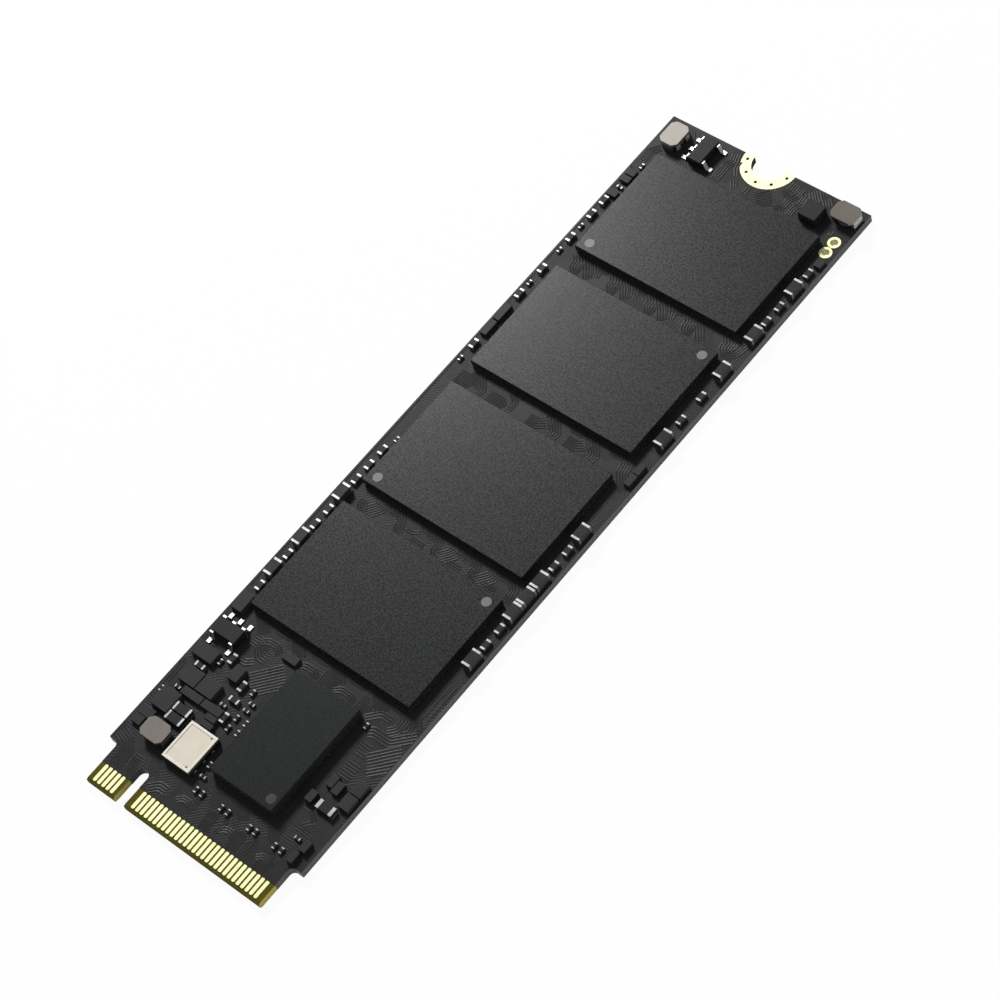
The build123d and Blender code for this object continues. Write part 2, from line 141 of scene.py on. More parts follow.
MASK = Finish(
    "mask", grey(0.0262), grey(0.0345), 0.6, Pattern.ROUTES, 0.25 * MM, 0.0135 * MM, (0.35, 0.41),
    gloss=0.078, x_side_light_and_shade=grey(0.135), x_side_light_from=9.9 * MM,
)
GOLD = Finish(
    "gold", (0.89, 0.88, 0.485), (0.77, 0.73, 0.36), 0.3, Pattern.PLATE, 0.12 * MM, 0.002 * MM, (0.45, 0.6),
    0.3, cut=(0.30, 0.27, 0.14),
)
MOULD = Finish(
    "mould", (0.0175, 0.0188, 0.0184), (0.0205, 0.022, 0.0215), 0.5, Pattern.GRAIN, 0.14 * MM, 0.003 * MM,
    (0.210, 0.256), gloss=0.18, speckle=0.42, cut=(0.022, 0.023, 0.023),
)
SMALL_MOULD = Finish(
    "mould_small", grey(0.036), grey(0.046), 0.5, Pattern.GRAIN, 0.16 * MM, 0.005 * MM, (0.34, 0.42),
    gloss=0.05, cut=grey(0.030),
)
MARK = Finish(
    "mark", (0.20, 0.195, 0.19), (0.14, 0.137, 0.133), 0.6, Pattern.GRAIN, 0.12 * MM, 0.004 * MM,
    (0.25, 0.32), gloss=0.16,
)
FERRITE = Finish(
    "ferrite_dark", (0.225, 0.205, 0.18), (0.165, 0.15, 0.13), 0.5, Pattern.GRAIN, 0.09 * MM, 0.01 * MM,
    (0.7, 0.9), gloss=0.2, cut=(0.045, 0.041, 0.036),
)
TINNED = Finish(
    "tinned", (0.64, 0.64, 0.63), (0.50, 0.50, 0.49), 0.5, Pattern.PLATE, 0.12 * MM, 0.006 * MM,
    (0.42, 0.6), 0.5, cut=grey(0.09), x_side_light_and_shade=(0.42, 0.42, 0.41),
)
CHIP = Finish(
    "chip_body", (0.0185, 0.0182, 0.0178), (0.0250, 0.0247, 0.0240), 0.5, Pattern.GRAIN, 0.08 * MM,
    0.004 * MM, (0.4, 0.6), gloss=0.1, cut=(0.026, 0.026, 0.025), x_side_light_and_shade=(0.060, 0.060, 0.058),
)
FINISHES: dict[str, Finish] = {
    "laminate": Finish(
        "laminate", (0.100, 0.091, 0.013), (0.072, 0.065, 0.008), 0.6, Pattern.WEAVE, 0.30 * MM, 0.004 * MM,
        (0.5, 0.65), gloss=0.01, cut=(0.055, 0.045, 0.022), x_side_light_and_shade=(0.70, 0.59, 0.17), x_side_light_from=4.0 * MM,
    ),
    "mask": MASK,
    "mask_plain": replace(MASK, pattern=Pattern.SATIN, depth=0.001 * MM),
    "track": replace(
        MASK, colour=grey(0.0255), tint=grey(0.0335), pattern=Pattern.SATIN, depth=0.001 * MM, gloss=0.083,
        x_side_light_and_shade=None,
    ),
    "gold": GOLD,
    # The upright colours of these two are painted shade: on the wall of the half hole and on the walls of the
    # plated bores.
    "gold_land": replace(GOLD, cut=(0.14, 0.15, 0.13)),
    "gold_bore": replace(GOLD, cut=(0.66, 0.64, 0.38)),
    "mould": MOULD,
    "mould_fine": replace(
        MOULD, colour=(0.0175, 0.0205, 0.0195), tint=(0.0205, 0.024, 0.023), size=0.12 * MM, depth=0.002 * MM,
        rough=(0.222, 0.244), speckle=0.18, cut=(0.036, 0.038, 0.037),
    ),
    "mould_small": SMALL_MOULD,
    "mould_power": replace(SMALL_MOULD, x_side_light_and_shade=grey(0.060)),
    # Darker copy of the small-part mould for the tall parts, which catch a stronger sheen: painted shade.
    "mould_tall_shaded": replace(SMALL_MOULD, colour=grey(0.027), tint=grey(0.036), cut=grey(0.028)),
    "substrate": Finish(
        "substrate", (0.030, 0.032, 0.030), (0.045, 0.048, 0.045), 0.6, Pattern.WEAVE, 0.15 * MM, 0.003 * MM,
        (0.5, 0.6), gloss=0.2,
    ),
    "attach": Finish(
        "attach", (0.022, 0.022, 0.021), (0.035, 0.034, 0.032), 0.6, Pattern.GRAIN, 0.1 * MM, 0.01 * MM,
        (0.4, 0.7), gloss=0.1,
    ),
    "mark": MARK,
    "mark_dim": replace(
        MARK, colour=(0.072, 0.069, 0.067), tint=(0.050, 0.048, 0.047), rough=(0.6, 0.8), gloss=0.1
    ),
    "ceramic_base": Finish(
        "ceramic_base", (0.022, 0.018, 0.014), (0.035, 0.029, 0.022), 0.6, Pattern.GRAIN, 0.06 * MM,
        0.004 * MM, (0.5, 0.7), gloss=0.2,
    ),
    "plated_rim": Finish(
        "plated_rim", (0.76, 0.73, 0.65), (0.66, 0.63, 0.55), 0.4, Pattern.PLATE, 0.1 * MM, 0.003 * MM,
        (0.5, 0.65), 0.1, gloss=0.2, cut=(0.16, 0.14, 0.11),
    ),
    "lid": Finish(
        "lid", (0.68, 0.63, 0.525), (0.62, 0.57, 0.47), 0.4, Pattern.BRUSH, 0.05 * MM, 0.002 * MM,
        (0.5, 0.65), 0.1, gloss=0.2,
    ),
    "dot": Finish(
        "lid", (0.06, 0.055, 0.045), (0.10, 0.09, 0.075), 0.5, Pattern.GRAIN, 0.05 * MM, 0.002 * MM,
        (0.5, 0.65), gloss=0.2,
    ),
    "ferrite_dark": FERRITE,
    # Darker copy of the ferrite for the far right cap, which offsets the stronger key light on it: painted
    # shade, with painted light on its faces towards +X.
    "ferrite_shaded": replace(
        FERRITE, colour=(0.175, 0.155, 0.135), tint=(0.13, 0.115, 0.10), gloss=0.15, x_side_light_and_shade=(0.42, 0.41, 0.39)
    ),
    "ferrite_pale": replace(
        FERRITE, slot="ferrite_pale", colour=(0.50, 0.465, 0.42), tint=(0.41, 0.38, 0.34),
        cut=(0.15, 0.14, 0.12),
    ),
    "winding": Finish(
        "winding", (0.12, 0.10, 0.082), (0.17, 0.14, 0.11), 0.5, Pattern.BRUSH, 0.12 * MM, 0.02 * MM,
        (0.3, 0.5),
    ),
    "tinned": TINNED,
    # Darker copies of the tinned ends, each tuned to the key highlight that its group of ends catches:
    # painted shade.
    "tinned_left_shaded": replace(
        TINNED, colour=(0.48, 0.48, 0.47), tint=(0.38, 0.38, 0.37), cut=grey(0.08), x_side_light_and_shade=(0.38, 0.38, 0.37)
    ),
    "tinned_right_shaded": replace(
        TINNED, colour=(0.37, 0.37, 0.365), tint=(0.29, 0.29, 0.285), cut=grey(0.06),
        x_side_light_and_shade=(0.17, 0.17, 0.168),
    ),
    "tinned_power_shaded": replace(
        TINNED, colour=(0.41, 0.41, 0.405), tint=(0.32, 0.32, 0.315), cut=grey(0.06),
        x_side_light_and_shade=(0.19, 0.19, 0.188),
    ),
    "tinned_cross_shaded": replace(
        TINNED, colour=(0.40, 0.40, 0.395), tint=(0.31, 0.31, 0.305), cut=grey(0.05), x_side_light_and_shade=None
    ),
    "lead": replace(
        TINNED, colour=(0.84, 0.84, 0.83), tint=(0.66, 0.66, 0.65), drift=0.4, rough=(0.36, 0.52), metal=0.6,
        cut=grey(0.07), x_side_light_and_shade=(0.62, 0.62, 0.61),
    ),
    "coil_end": replace(
        TINNED, colour=(0.60, 0.59, 0.56), tint=(0.48, 0.47, 0.45), metal=0.4, cut=(0.11, 0.105, 0.10),
        x_side_light_and_shade=(0.62, 0.61, 0.57), x_side_light_from=9.9 * MM,
    ),
    "wing": replace(
        TINNED, colour=(0.78, 0.77, 0.72), tint=(0.40, 0.39, 0.36), drift=0.8, metal=0.2, patch=0.5 * MM,
        cut=None, x_side_light_and_shade=None,
    ),
    "solder": replace(
        TINNED, colour=(0.20, 0.20, 0.195), tint=grey(0.13), size=0.08 * MM, depth=0.004 * MM,
        rough=(0.4, 0.55), cut=grey(0.06), x_side_light_and_shade=None,
    ),
    # Solder balls given a dark grey: painted shade, for balls that sit in the shade under the packages.
    "ball": replace(
        TINNED, colour=grey(0.10), tint=grey(0.06), size=0.08 * MM, depth=0.003 * MM, rough=(0.4, 0.55),
        metal=0.3, gloss=0.3, cut=None, x_side_light_and_shade=None,
    ),
    # Near-black colour of the stitch-hole discs: painted shade for the dark inside of each hole.
    "hole": Finish(
        "laminate", (0.012, 0.011, 0.008), (0.020, 0.018, 0.012), 0.5, Pattern.GRAIN, 0.05 * MM, 0.002 * MM,
        (0.6, 0.8), gloss=0.1,
    ),
    "chip_body": CHIP,
    "chip_left": replace(CHIP, colour=(0.028, 0.0275, 0.027), tint=(0.038, 0.0375, 0.036)),
}
NODE_FINISH = {
    "controller_body": "mould_fine",
    "controller_mark": "mark_dim",
    "coil_far_right_cap": "ferrite_shaded",
    "coil_ends": "coil_end",
    "low_cross_ends": "tinned_cross_shaded",
    "large_left_ends": "tinned_left_shaded",
    "large_right_ends": "tinned_right_shaded",
    "medium_right_ends": "tinned_right_shaded",
    "medium_power_ends": "tinned_power_shaded",
    "small_power_ends": "tinned_power_shaded",
    "large_left_chips": "chip_left",
    "medium_left_chips": "chip_left",
    "small_edge_chips": "chip_left",
    "power_blocks": "mould_power",
    "left_blocks": "mould_power",
    "mounting_land": "gold_land",
    "solder_mask_edge": "mask_plain",
    "solder_mask_bottom": "mask_plain",
    "plated_holes": "gold_bore",
    "regulator_leads": "lead",
    "regulator_bodies": "mould_tall_shaded",
    "far_block": "mould_tall_shaded",
}


def feed(tree: Tree, node: bpy.types.Node, feeds: dict[Any, Any]) -> None:
    """Links a node's inputs to sockets, or gives them values of their own.

    Args:
        tree: Node tree of the node.
        node: Node whose inputs are fed.
        feeds: Inputs by name or number, each with a socket or a value.
    """
    for label, value in feeds.items():
        if isinstance(value, Socket):
            tree.links.new(value, node.inputs[label])
        else:
            node.inputs[label].default_value = value


def add_node(tree: Tree, kind: str, feeds: dict[Any, Any], **settings: Any) -> bpy.types.NodeOutputs:
    """Adds one shader node.

    Args:
        tree: Node tree that it goes into.
        kind: Type of the node, without the ShaderNode in front.
        feeds: Inputs by name or number, each with a socket or a value.
        settings: Properties of the node, set before its inputs.

    Returns:
        The outputs of the node.
    """
    node = tree.nodes.new(f"ShaderNode{kind}")
    for label, value in settings.items():
        setattr(node, label, value)
    feed(tree, node, feeds)
    return node.outputs


def calculate(tree: Tree, operation: str, *terms: Any) -> Socket:
    """Result of a Math node, whose terms are sockets or numbers."""
    return add_node(tree, "Math", dict(enumerate(terms)), operation=operation)[0]


def blend(tree: Tree, share: Socket, first: Any, second: Any, data_type: str = "RGBA") -> Socket:
    """Mix of two colours or numbers by a share."""
    return add_node(tree, "Mix", {"Factor": share, "A": first, "B": second}, data_type=data_type)["Result"]


def remap(
    tree: Tree, value: Socket, source: tuple[float, float] = (0.0, 1.0), target: tuple[Any, Any] = (0.0, 1.0),
    **settings: Any,
) -> Socket:
    """Carries a value over from one range to another.

    Args:
        tree: Node tree that the node goes into.
        value: Value to carry over.
        source: Range that it comes from.
        target: Range that it goes to, in numbers or sockets.
        settings: Properties of the node.

    Returns:
        The new value.
    """
    feeds = {
        "Value": value, "From Min": source[0], "From Max": source[1],
        "To Min": target[0], "To Max": target[1],
    }
    return add_node(tree, "MapRange", feeds, **settings)["Result"]


class ShaderKit:
    """Node groups that more than one finish uses, each built once."""

    KINDS = {
        "Vector": "NodeSocketVector", "Normal": "NodeSocketVector", "Colour": "NodeSocketColor",
        "Tint": "NodeSocketColor", "Level": "NodeSocketColor", "UprightLightAndShade": "NodeSocketColor",
        "SideLightAndShade": "NodeSocketColor",
    }
    PATTERN_SOCKETS = (("Vector", "Size"), ("Height",))
    FIELD_SIZE = 2.2 * MM
    FIELD_DIRECTIONS = 4.0

    def __init__(self) -> None:
        """Builds every shared group."""
        self.patches = self._patches()
        self.grain = self._grain()
        self.surfaces = {
            Pattern.WEAVE: self._weave(), Pattern.BRUSH: self._lines(), Pattern.ROUTES: self._routes(),
        }
        self.speckle = self._speckle()
        # The two groups below paint light and shade onto upright faces and onto faces that look towards +X.
        self.upright = self._painted_upright_group()
        self.painted_sides = self._painted_side_group()

    def _group(
        self, name: str, inputs: tuple[str, ...], outputs: tuple[str, ...]
    ) -> tuple[Tree, bpy.types.NodeOutputs, bpy.types.Node]:
        """Starts an empty group.

        Args:
            name: Name of the group.
            inputs: Names of its inputs.
            outputs: Names of its outputs.

        Returns:
            The group, what its inputs give and its output node.
        """
        tree = bpy.data.node_groups.new(name, "ShaderNodeTree")
        for in_out, labels in (("INPUT", inputs), ("OUTPUT", outputs)):
            for label in labels:
                kind = self.KINDS.get(label, "NodeSocketFloat")
                tree.interface.new_socket(name=label, in_out=in_out, socket_type=kind)
        return tree, tree.nodes.new("NodeGroupInput").outputs, tree.nodes.new("NodeGroupOutput")

    @staticmethod
    def _noise(tree: Tree, place: Socket, size: Socket, detail: float, roughness: float = 0.5) -> Socket:
        """Noise with lumps of a given size.

        Args:
            tree: Node tree that it goes into.
            place: Place on the piece.
            size: Size of a lump.
            detail: Number of finer layers.
            roughness: Weight of the finer layers.

        Returns:
            The noise, 0 to 1.
        """
        scale = calculate(tree, "DIVIDE", 1.0, size)
        feeds = {"Vector": place, "Scale": scale, "Detail": detail, "Roughness": roughness}
        return add_node(tree, "TexNoise", feeds)["Fac"]

    def _patches(self) -> Tree:
        """Colour and roughness that drift in soft patches over the surface.

        Returns:
            The group.
        """
        tree, given, end = self._group(
            "drifting_patches", ("Vector", "Size", "Colour", "Tint", "Drift", "Smooth", "Rough"),
            ("Colour", "Roughness"),
        )
        noise = self._noise(tree, given["Vector"], given["Size"], detail=5.0, roughness=0.65)
        spread = remap(tree, noise, source=(0.3, 0.7))
        amount = calculate(tree, "MULTIPLY", spread, given["Drift"])
        feed(tree, end, {
            "Colour": blend(tree, amount, given["Colour"], given["Tint"]),
            "Roughness": remap(tree, spread, target=(given["Smooth"], given["Rough"])),
        })
        return tree

    def _painted_upright_group(self) -> Tree:
        """Painted light and shade: one colour on level faces and another on upright ones.

        Returns:
            The group.
        """
        tree, given, end = self._group("painted_upright_light_and_shade", ("Normal", "Level", "UprightLightAndShade"), ("Colour",))
        facing = add_node(tree, "SeparateXYZ", {"Vector": given["Normal"]})["Z"]
        share = remap(tree, calculate(tree, "ABSOLUTE", facing), source=(0.75, 0.3))
        feed(tree, end, {"Colour": blend(tree, share, given["Level"], given["UprightLightAndShade"])})
        return tree

    def _painted_side_group(self) -> Tree:
        """Painted light and shade: one colour, and another on faces that look towards +X beyond a distance
        from the middle line.

        Returns:
            The group.
        """
        tree, given, end = self._group(
            "painted_x_side_light_and_shade", ("Normal", "Vector", "From", "Level", "SideLightAndShade"), ("Colour",)
        )
        facing = add_node(tree, "SeparateXYZ", {"Vector": given["Normal"]})["X"]
        share = remap(tree, facing, source=(0.45, 0.8))
        place = add_node(tree, "SeparateXYZ", {"Vector": given["Vector"]})["X"]
        beyond = calculate(tree, "GREATER_THAN", calculate(tree, "ABSOLUTE", place), given["From"])
        both = calculate(tree, "MULTIPLY", share, beyond)
        feed(tree, end, {"Colour": blend(tree, both, given["Level"], given["SideLightAndShade"])})
        return tree

    def _grain(self) -> Tree:
        """Height of a fine even grain.

        Returns:
            The group.
        """
        tree, given, end = self._group("fine_grain", *self.PATTERN_SOCKETS)
        noise = self._noise(tree, given["Vector"], given["Size"], detail=1.0, roughness=0.6)
        feed(tree, end, {"Height": noise})
        return tree

    def _weave(self) -> Tree:
        """Height of woven cloth: threads along X over threads along Y.

        Returns:
            The group.
        """
        tree, given, end = self._group("woven_cloth", *self.PATTERN_SOCKETS)
        scale = calculate(tree, "DIVIDE", 1.0, given["Size"])
        feeds = {"Vector": given["Vector"], "Scale": scale, "Distortion": 0.6, "Detail": 2.0}
        waves = [
            add_node(tree, "TexWave", feeds, wave_type="BANDS", bands_direction=direction)["Fac"]
            for direction in ("X", "Y")
        ]
        feed(tree, end, {"Height": calculate(tree, "MULTIPLY", *waves)})
        return tree

    def _lines(self) -> Tree:
        """Height of fine lines along X, as rolling or winding leaves.

        Returns:
            The group.
        """
        tree, given, end = self._group("fine_lines", *self.PATTERN_SOCKETS)
        stretched = add_node(tree, "Mapping", {"Vector": given["Vector"], "Scale": (0.05, 1.0, 1.0)})
        feed(tree, end, {"Height": self._noise(tree, stretched["Vector"], given["Size"], detail=2.0)})
        return tree

    def _speckle(self) -> Tree:
        """Colour and roughness that change from grain to grain.

        Returns:
            The group.
        """
        tree, given, end = self._group(
            "grain_speckle", ("Vector", "Size", "Colour", "Share", "Smooth", "Rough"), ("Colour", "Roughness")
        )
        noise = self._noise(tree, given["Vector"], given["Size"], detail=0.0)
        spread = remap(tree, noise, source=(0.3, 0.7))
        swing = remap(tree, spread, target=(-1.0, 1.0))
        change = calculate(tree, "MULTIPLY_ADD", swing, given["Share"], 1.0)
        scaled = add_node(tree, "VectorMath", {"Vector": given["Colour"], "Scale": change}, operation="SCALE")
        feed(tree, end, {
            "Colour": scaled["Vector"],
            "Roughness": remap(tree, spread, target=(given["Smooth"], given["Rough"])),
        })
        return tree

    def _routes(self) -> Tree:
        """Height of fine parallel routes that lie in fields, each field turned by eighths of a turn.

        Returns:
            The group.
        """
        tree, given, end = self._group("routed_copper", *self.PATTERN_SOCKETS)
        place = given["Vector"]
        cells = {"Vector": place, "Scale": 1.0 / self.FIELD_SIZE}
        field_colour = add_node(tree, "TexVoronoi", cells, distance="CHEBYCHEV")["Color"]
        chance = add_node(tree, "SeparateColor", {"Color": field_colour})
        eighths = calculate(tree, "FLOOR", calculate(tree, "MULTIPLY", chance[0], self.FIELD_DIRECTIONS))
        angle = calculate(tree, "MULTIPLY", eighths, math.pi / 4)
        turned = add_node(tree, "VectorRotate", {"Vector": place, "Angle": angle}, rotation_type="Z_AXIS")
        pitch = calculate(tree, "DIVIDE", math.pi / 10, given["Size"])
        bends = {"Scale": pitch, "Distortion": 2.2, "Detail": 0.0, "Detail Scale": 0.9}
        waves = add_node(tree, "TexWave", {"Vector": turned["Vector"], **bends})["Fac"]
        steep = remap(tree, waves, source=(0.2, 0.8), interpolation_type="SMOOTHSTEP")
        routed = calculate(tree, "GREATER_THAN", chance[1], 0.2)
        feed(tree, end, {"Height": calculate(tree, "MULTIPLY", steep, routed)})
        return tree


class Painter:
    """Makes each finish once and puts it on pieces."""

    def __init__(self, kit: ShaderKit) -> None:
        """Keeps the shared groups.

        Args:
            kit: Shared shader node groups.
        """
        self.kit = kit
        self.made: dict[str, bpy.types.Material] = {}

    def _build(self, name: str) -> bpy.types.Material:
        """Node material of a finish.

        Args:
            name: Key of the finish.

        Returns:
            The new material.
        """
        finish = FINISHES[name]
        made = bpy.data.materials.new(name)
        made.use_nodes = True
        tree = made.node_tree
        place = add_node(tree, "TexCoord", {})
        shared = {"Vector": place["Object"], "Smooth": finish.rough[0], "Rough": finish.rough[1]}
        patches = {
            **shared, "Size": finish.patch, "Colour": (*finish.colour, 1.0), "Tint": (*finish.tint, 1.0),
            "Drift": finish.drift,
        }
        base = add_node(tree, "Group", patches, node_tree=self.kit.patches)
        if finish.speckle:
            grains = {**shared, "Size": finish.size, "Colour": base["Colour"], "Share": finish.speckle}
            base = add_node(tree, "Group", grains, node_tree=self.kit.speckle)
        colour = base["Colour"]
        # Painted light and shade: upright faces, and faces towards +X away from the middle line, take the
        # finish's colours for the light that falls on them.
        if finish.cut:
            faces = {"Normal": place["Normal"], "Level": colour, "UprightLightAndShade": (*finish.cut, 1.0)}
            colour = add_node(tree, "Group", faces, node_tree=self.kit.upright)["Colour"]
        if finish.x_side_light_and_shade:
            faces = {
                "Normal": place["Normal"], "Vector": place["Object"], "From": finish.x_side_light_from,
                "Level": colour, "SideLightAndShade": (*finish.x_side_light_and_shade, 1.0),
            }
            colour = add_node(tree, "Group", faces, node_tree=self.kit.painted_sides)["Colour"]
        surface = self.kit.surfaces.get(finish.pattern, self.kit.grain)
        height = add_node(tree, "Group", {"Vector": place["Object"], "Size": finish.size}, node_tree=surface)
        relief = {"Strength": 1.0, "Distance": finish.depth, "Height": height["Height"]}
        feed(tree, tree.nodes["Principled BSDF"], {
            "Base Color": colour, "Metallic": finish.metal, "Roughness": base["Roughness"],
            "Specular IOR Level": finish.gloss, "Normal": add_node(tree, "Bump", relief)["Normal"],
        })
        return made

    def paint(self, piece: bpy.types.Object, name: str) -> None:
        """Gives a whole piece one finish, which is made at its first use.

        Args:
            piece: Object to paint.
            name: Key of the finish.
        """
        if name not in self.made:
            self.made[name] = self._build(name)
        piece.data.materials.clear()
        piece.data.materials.append(self.made[name])


@dataclass(frozen=True)
class Box:
    """Lowest and highest corner of one solid."""

    low: Vector
    high: Vector

    @property
    def middle(self) -> Vector:
        """Centre of the box."""
        return (self.low + self.high) / 2

    @property
    def size(self) -> Vector:
        """Lengths of the sides."""
        return self.high - self.low


def put(name: str, data: bpy.types.ID) -> bpy.types.Object:
    """Makes an object and links it to the scene.

    Args:
        name: Name of the object.
        data: Its mesh, curve, light or camera.

    Returns:
        The new object.
    """
    made = bpy.data.objects.new(name, data)
    bpy.context.scene.collection.objects.link(made)
    return made


def to_mesh(name: str, shape: Shape) -> bpy.types.Mesh:
    """Turns a bmesh into a mesh.

    Args:
        name: Name of the mesh.
        shape: The bmesh, which is used up.

    Returns:
        The new mesh.
    """
    mesh = bpy.data.meshes.new(name)
    shape.to_mesh(mesh)
    shape.free()
    return mesh


def bevel(shape: Shape, edges: list[bmesh.types.BMEdge], width: float, segments: int) -> None:
    """Bevels some edges of a shape.

    Args:
        shape: Shape that the edges belong to.
        edges: The edges.
        width: Width of the bevel.
        segments: Faces across the bevel.
    """
    bmesh.ops.bevel(
        shape, geom=edges, offset=width, affect="EDGES", segments=segments, profile=0.5, material=-1,
        clamp_overlap=True,
    )


def block(box: Box, rounding: float = 0.0) -> Shape:
    """Makes a block.

    Args:
        box: Its place and size.
        rounding: Width of the rounding along its edges.

    Returns:
        The block as a bmesh of its own.
    """
    part = bmesh.new()
    turned = Matrix.Translation(box.middle) @ Matrix.Diagonal((*box.size, 1.0))
    bmesh.ops.create_cube(part, size=1.0, matrix=turned)
    if rounding:
        bevel(part, list(part.edges), rounding, segments=2)
    return part


def disc(radius: float, depth: float, top_share: float) -> Shape:
    """Makes a disc whose top is a little smaller than its foot.

    Args:
        radius: Radius of the foot.
        depth: Height of the disc.
        top_share: Radius of the top as a share of the foot's.

    Returns:
        The disc as a bmesh of its own.
    """
    part = bmesh.new()
    bmesh.ops.create_cone(
        part, cap_ends=True, segments=16, radius1=radius, radius2=radius * top_share, depth=depth
    )
    return part


class Pile:
    """Many small shapes gathered as one mesh."""

    def __init__(self) -> None:
        """Starts empty."""
        self.shape = bmesh.new()

    def add(self, part: Shape, turned: Optional[Matrix] = None) -> None:
        """Adds one finished shape.

        Args:
            part: The shape, which is used up.
            turned: Place and turn that it is given first.
        """
        bmesh.ops.recalc_face_normals(part, faces=part.faces)
        mesh = to_mesh("part", part)
        if turned:
            mesh.transform(turned)
        self.shape.from_mesh(mesh)
        bpy.data.meshes.remove(mesh)


class Bench:
    """Where CAD nodes are looked up and new pieces are finished."""

    def __init__(self, frame: dict, painter: Painter) -> None:
        """Keeps the frame and the painter.

        Args:
            painter: Maker of the finishes.
        """
        self.nodes: dict[str, bpy.types.Object] = frame["nodes"]
        self.slot_of = {row["node"]: row["material_slot"] for row in frame["record"]["subparts"]}
        self.painter = painter

    def finish_key(self, node: str) -> str:
        """Key of the finish that a CAD node gets."""
        return NODE_FINISH.get(node, self.slot_of[node])

    def merged(self, node: str, flat: bool = False) -> Shape:
        """Copies the mesh of a CAD node and joins its loose triangles.

        Args:
            node: Name of the node, which stays as it is.
            flat: Whether triangles in one plane are joined to one face.

        Returns:
            The copy.
        """
        shape = bmesh.new()
        shape.from_mesh(self.nodes[node].data)
        bmesh.ops.remove_doubles(shape, verts=shape.verts, dist=MERGE_DISTANCE)
        if flat:
            bmesh.ops.dissolve_limit(
                shape, angle_limit=math.radians(1), verts=shape.verts, edges=shape.edges,
                use_dissolve_boundaries=False,
            )
        return shape

    def solids(self, node: str) -> list[Box]:
        """Boxes of the separate solids of a CAD node, from the contact end on.

        Args:
            node: Name of the node.

        Returns:
            One box for each solid.
        """
        shape = self.merged(node)
        waiting = set(shape.verts)
        boxes = []
        while waiting:
            unsearched = [waiting.pop()]
            island = list(unsearched)
            while unsearched:
                for edge in unsearched.pop().link_edges:
                    found = waiting.intersection(edge.verts)
                    waiting -= found
                    unsearched += found
                    island += found
            low = Vector([min(vert.co[i] for vert in island) for i in range(3)])
            high = Vector([max(vert.co[i] for vert in island) for i in range(3)])
            boxes.append(Box(low, high))
        shape.free()
        return sorted(boxes, key=lambda box: (round(box.low.y, 6), round(box.low.x, 6)))

    def finish(self, name: str, shape: Shape, finish: str, smooth: bool = False) -> bpy.types.Object:
        """Makes a piece of a finished bmesh.

        Args:
            name: Name of the piece.
            shape: The bmesh, which is used up.
            finish: Key of its finish.
            smooth: Whether its faces are shaded smooth.

        Returns:
            The new piece, riding on the card.
        """
        bmesh.ops.recalc_face_normals(shape, faces=shape.faces)
        mesh = to_mesh(name, shape)
        piece = put(name, mesh)
        self.painter.paint(piece, finish)
        for polygon in mesh.polygons:
            polygon.use_smooth = smooth
        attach(piece, BODY)
        log.info("%s: %d faces", name, len(mesh.polygons))
        return piece


@dataclass
class CarriedNodes:
    """CAD nodes that keep their shape and get their finish."""

    ROUNDED = {
        "ends": 0.05 * MM, "chips": 0.03 * MM, "blocks": 0.03 * MM, "block": 0.05 * MM, "bodies": 0.03 * MM,
        "rim": 0.05 * MM, "base": 0.04 * MM, "body": 0.035 * MM,
    }

    bench: Bench
    round_angle: float = math.radians(25)

    def build(self) -> None:
        """Paints every CAD node and rounds the edges of the small parts."""
        for name, piece in self.bench.nodes.items():
            self.bench.painter.paint(piece, self.bench.finish_key(name))
            width = self.ROUNDED.get(name.rsplit("_", 1)[-1])
            if width:
                self._soften(piece, width)
        log.info("painted %d CAD nodes", len(self.bench.nodes))

    def _soften(self, piece: bpy.types.Object, width: float) -> None:
        """Rounds the edges of a node with modifiers and leaves its mesh alone.

        Args:
            piece: CAD node.
            width: Width of the rounding.
        """
        piece.modifiers.new("weld", "WELD").merge_threshold = MERGE_DISTANCE
        rounding = piece.modifiers.new("round", "BEVEL")
        rounding.width = width
        rounding.segments = 2
        rounding.limit_method = "ANGLE"
        rounding.angle_limit = self.round_angle
        rounding.use_clamp_overlap = True


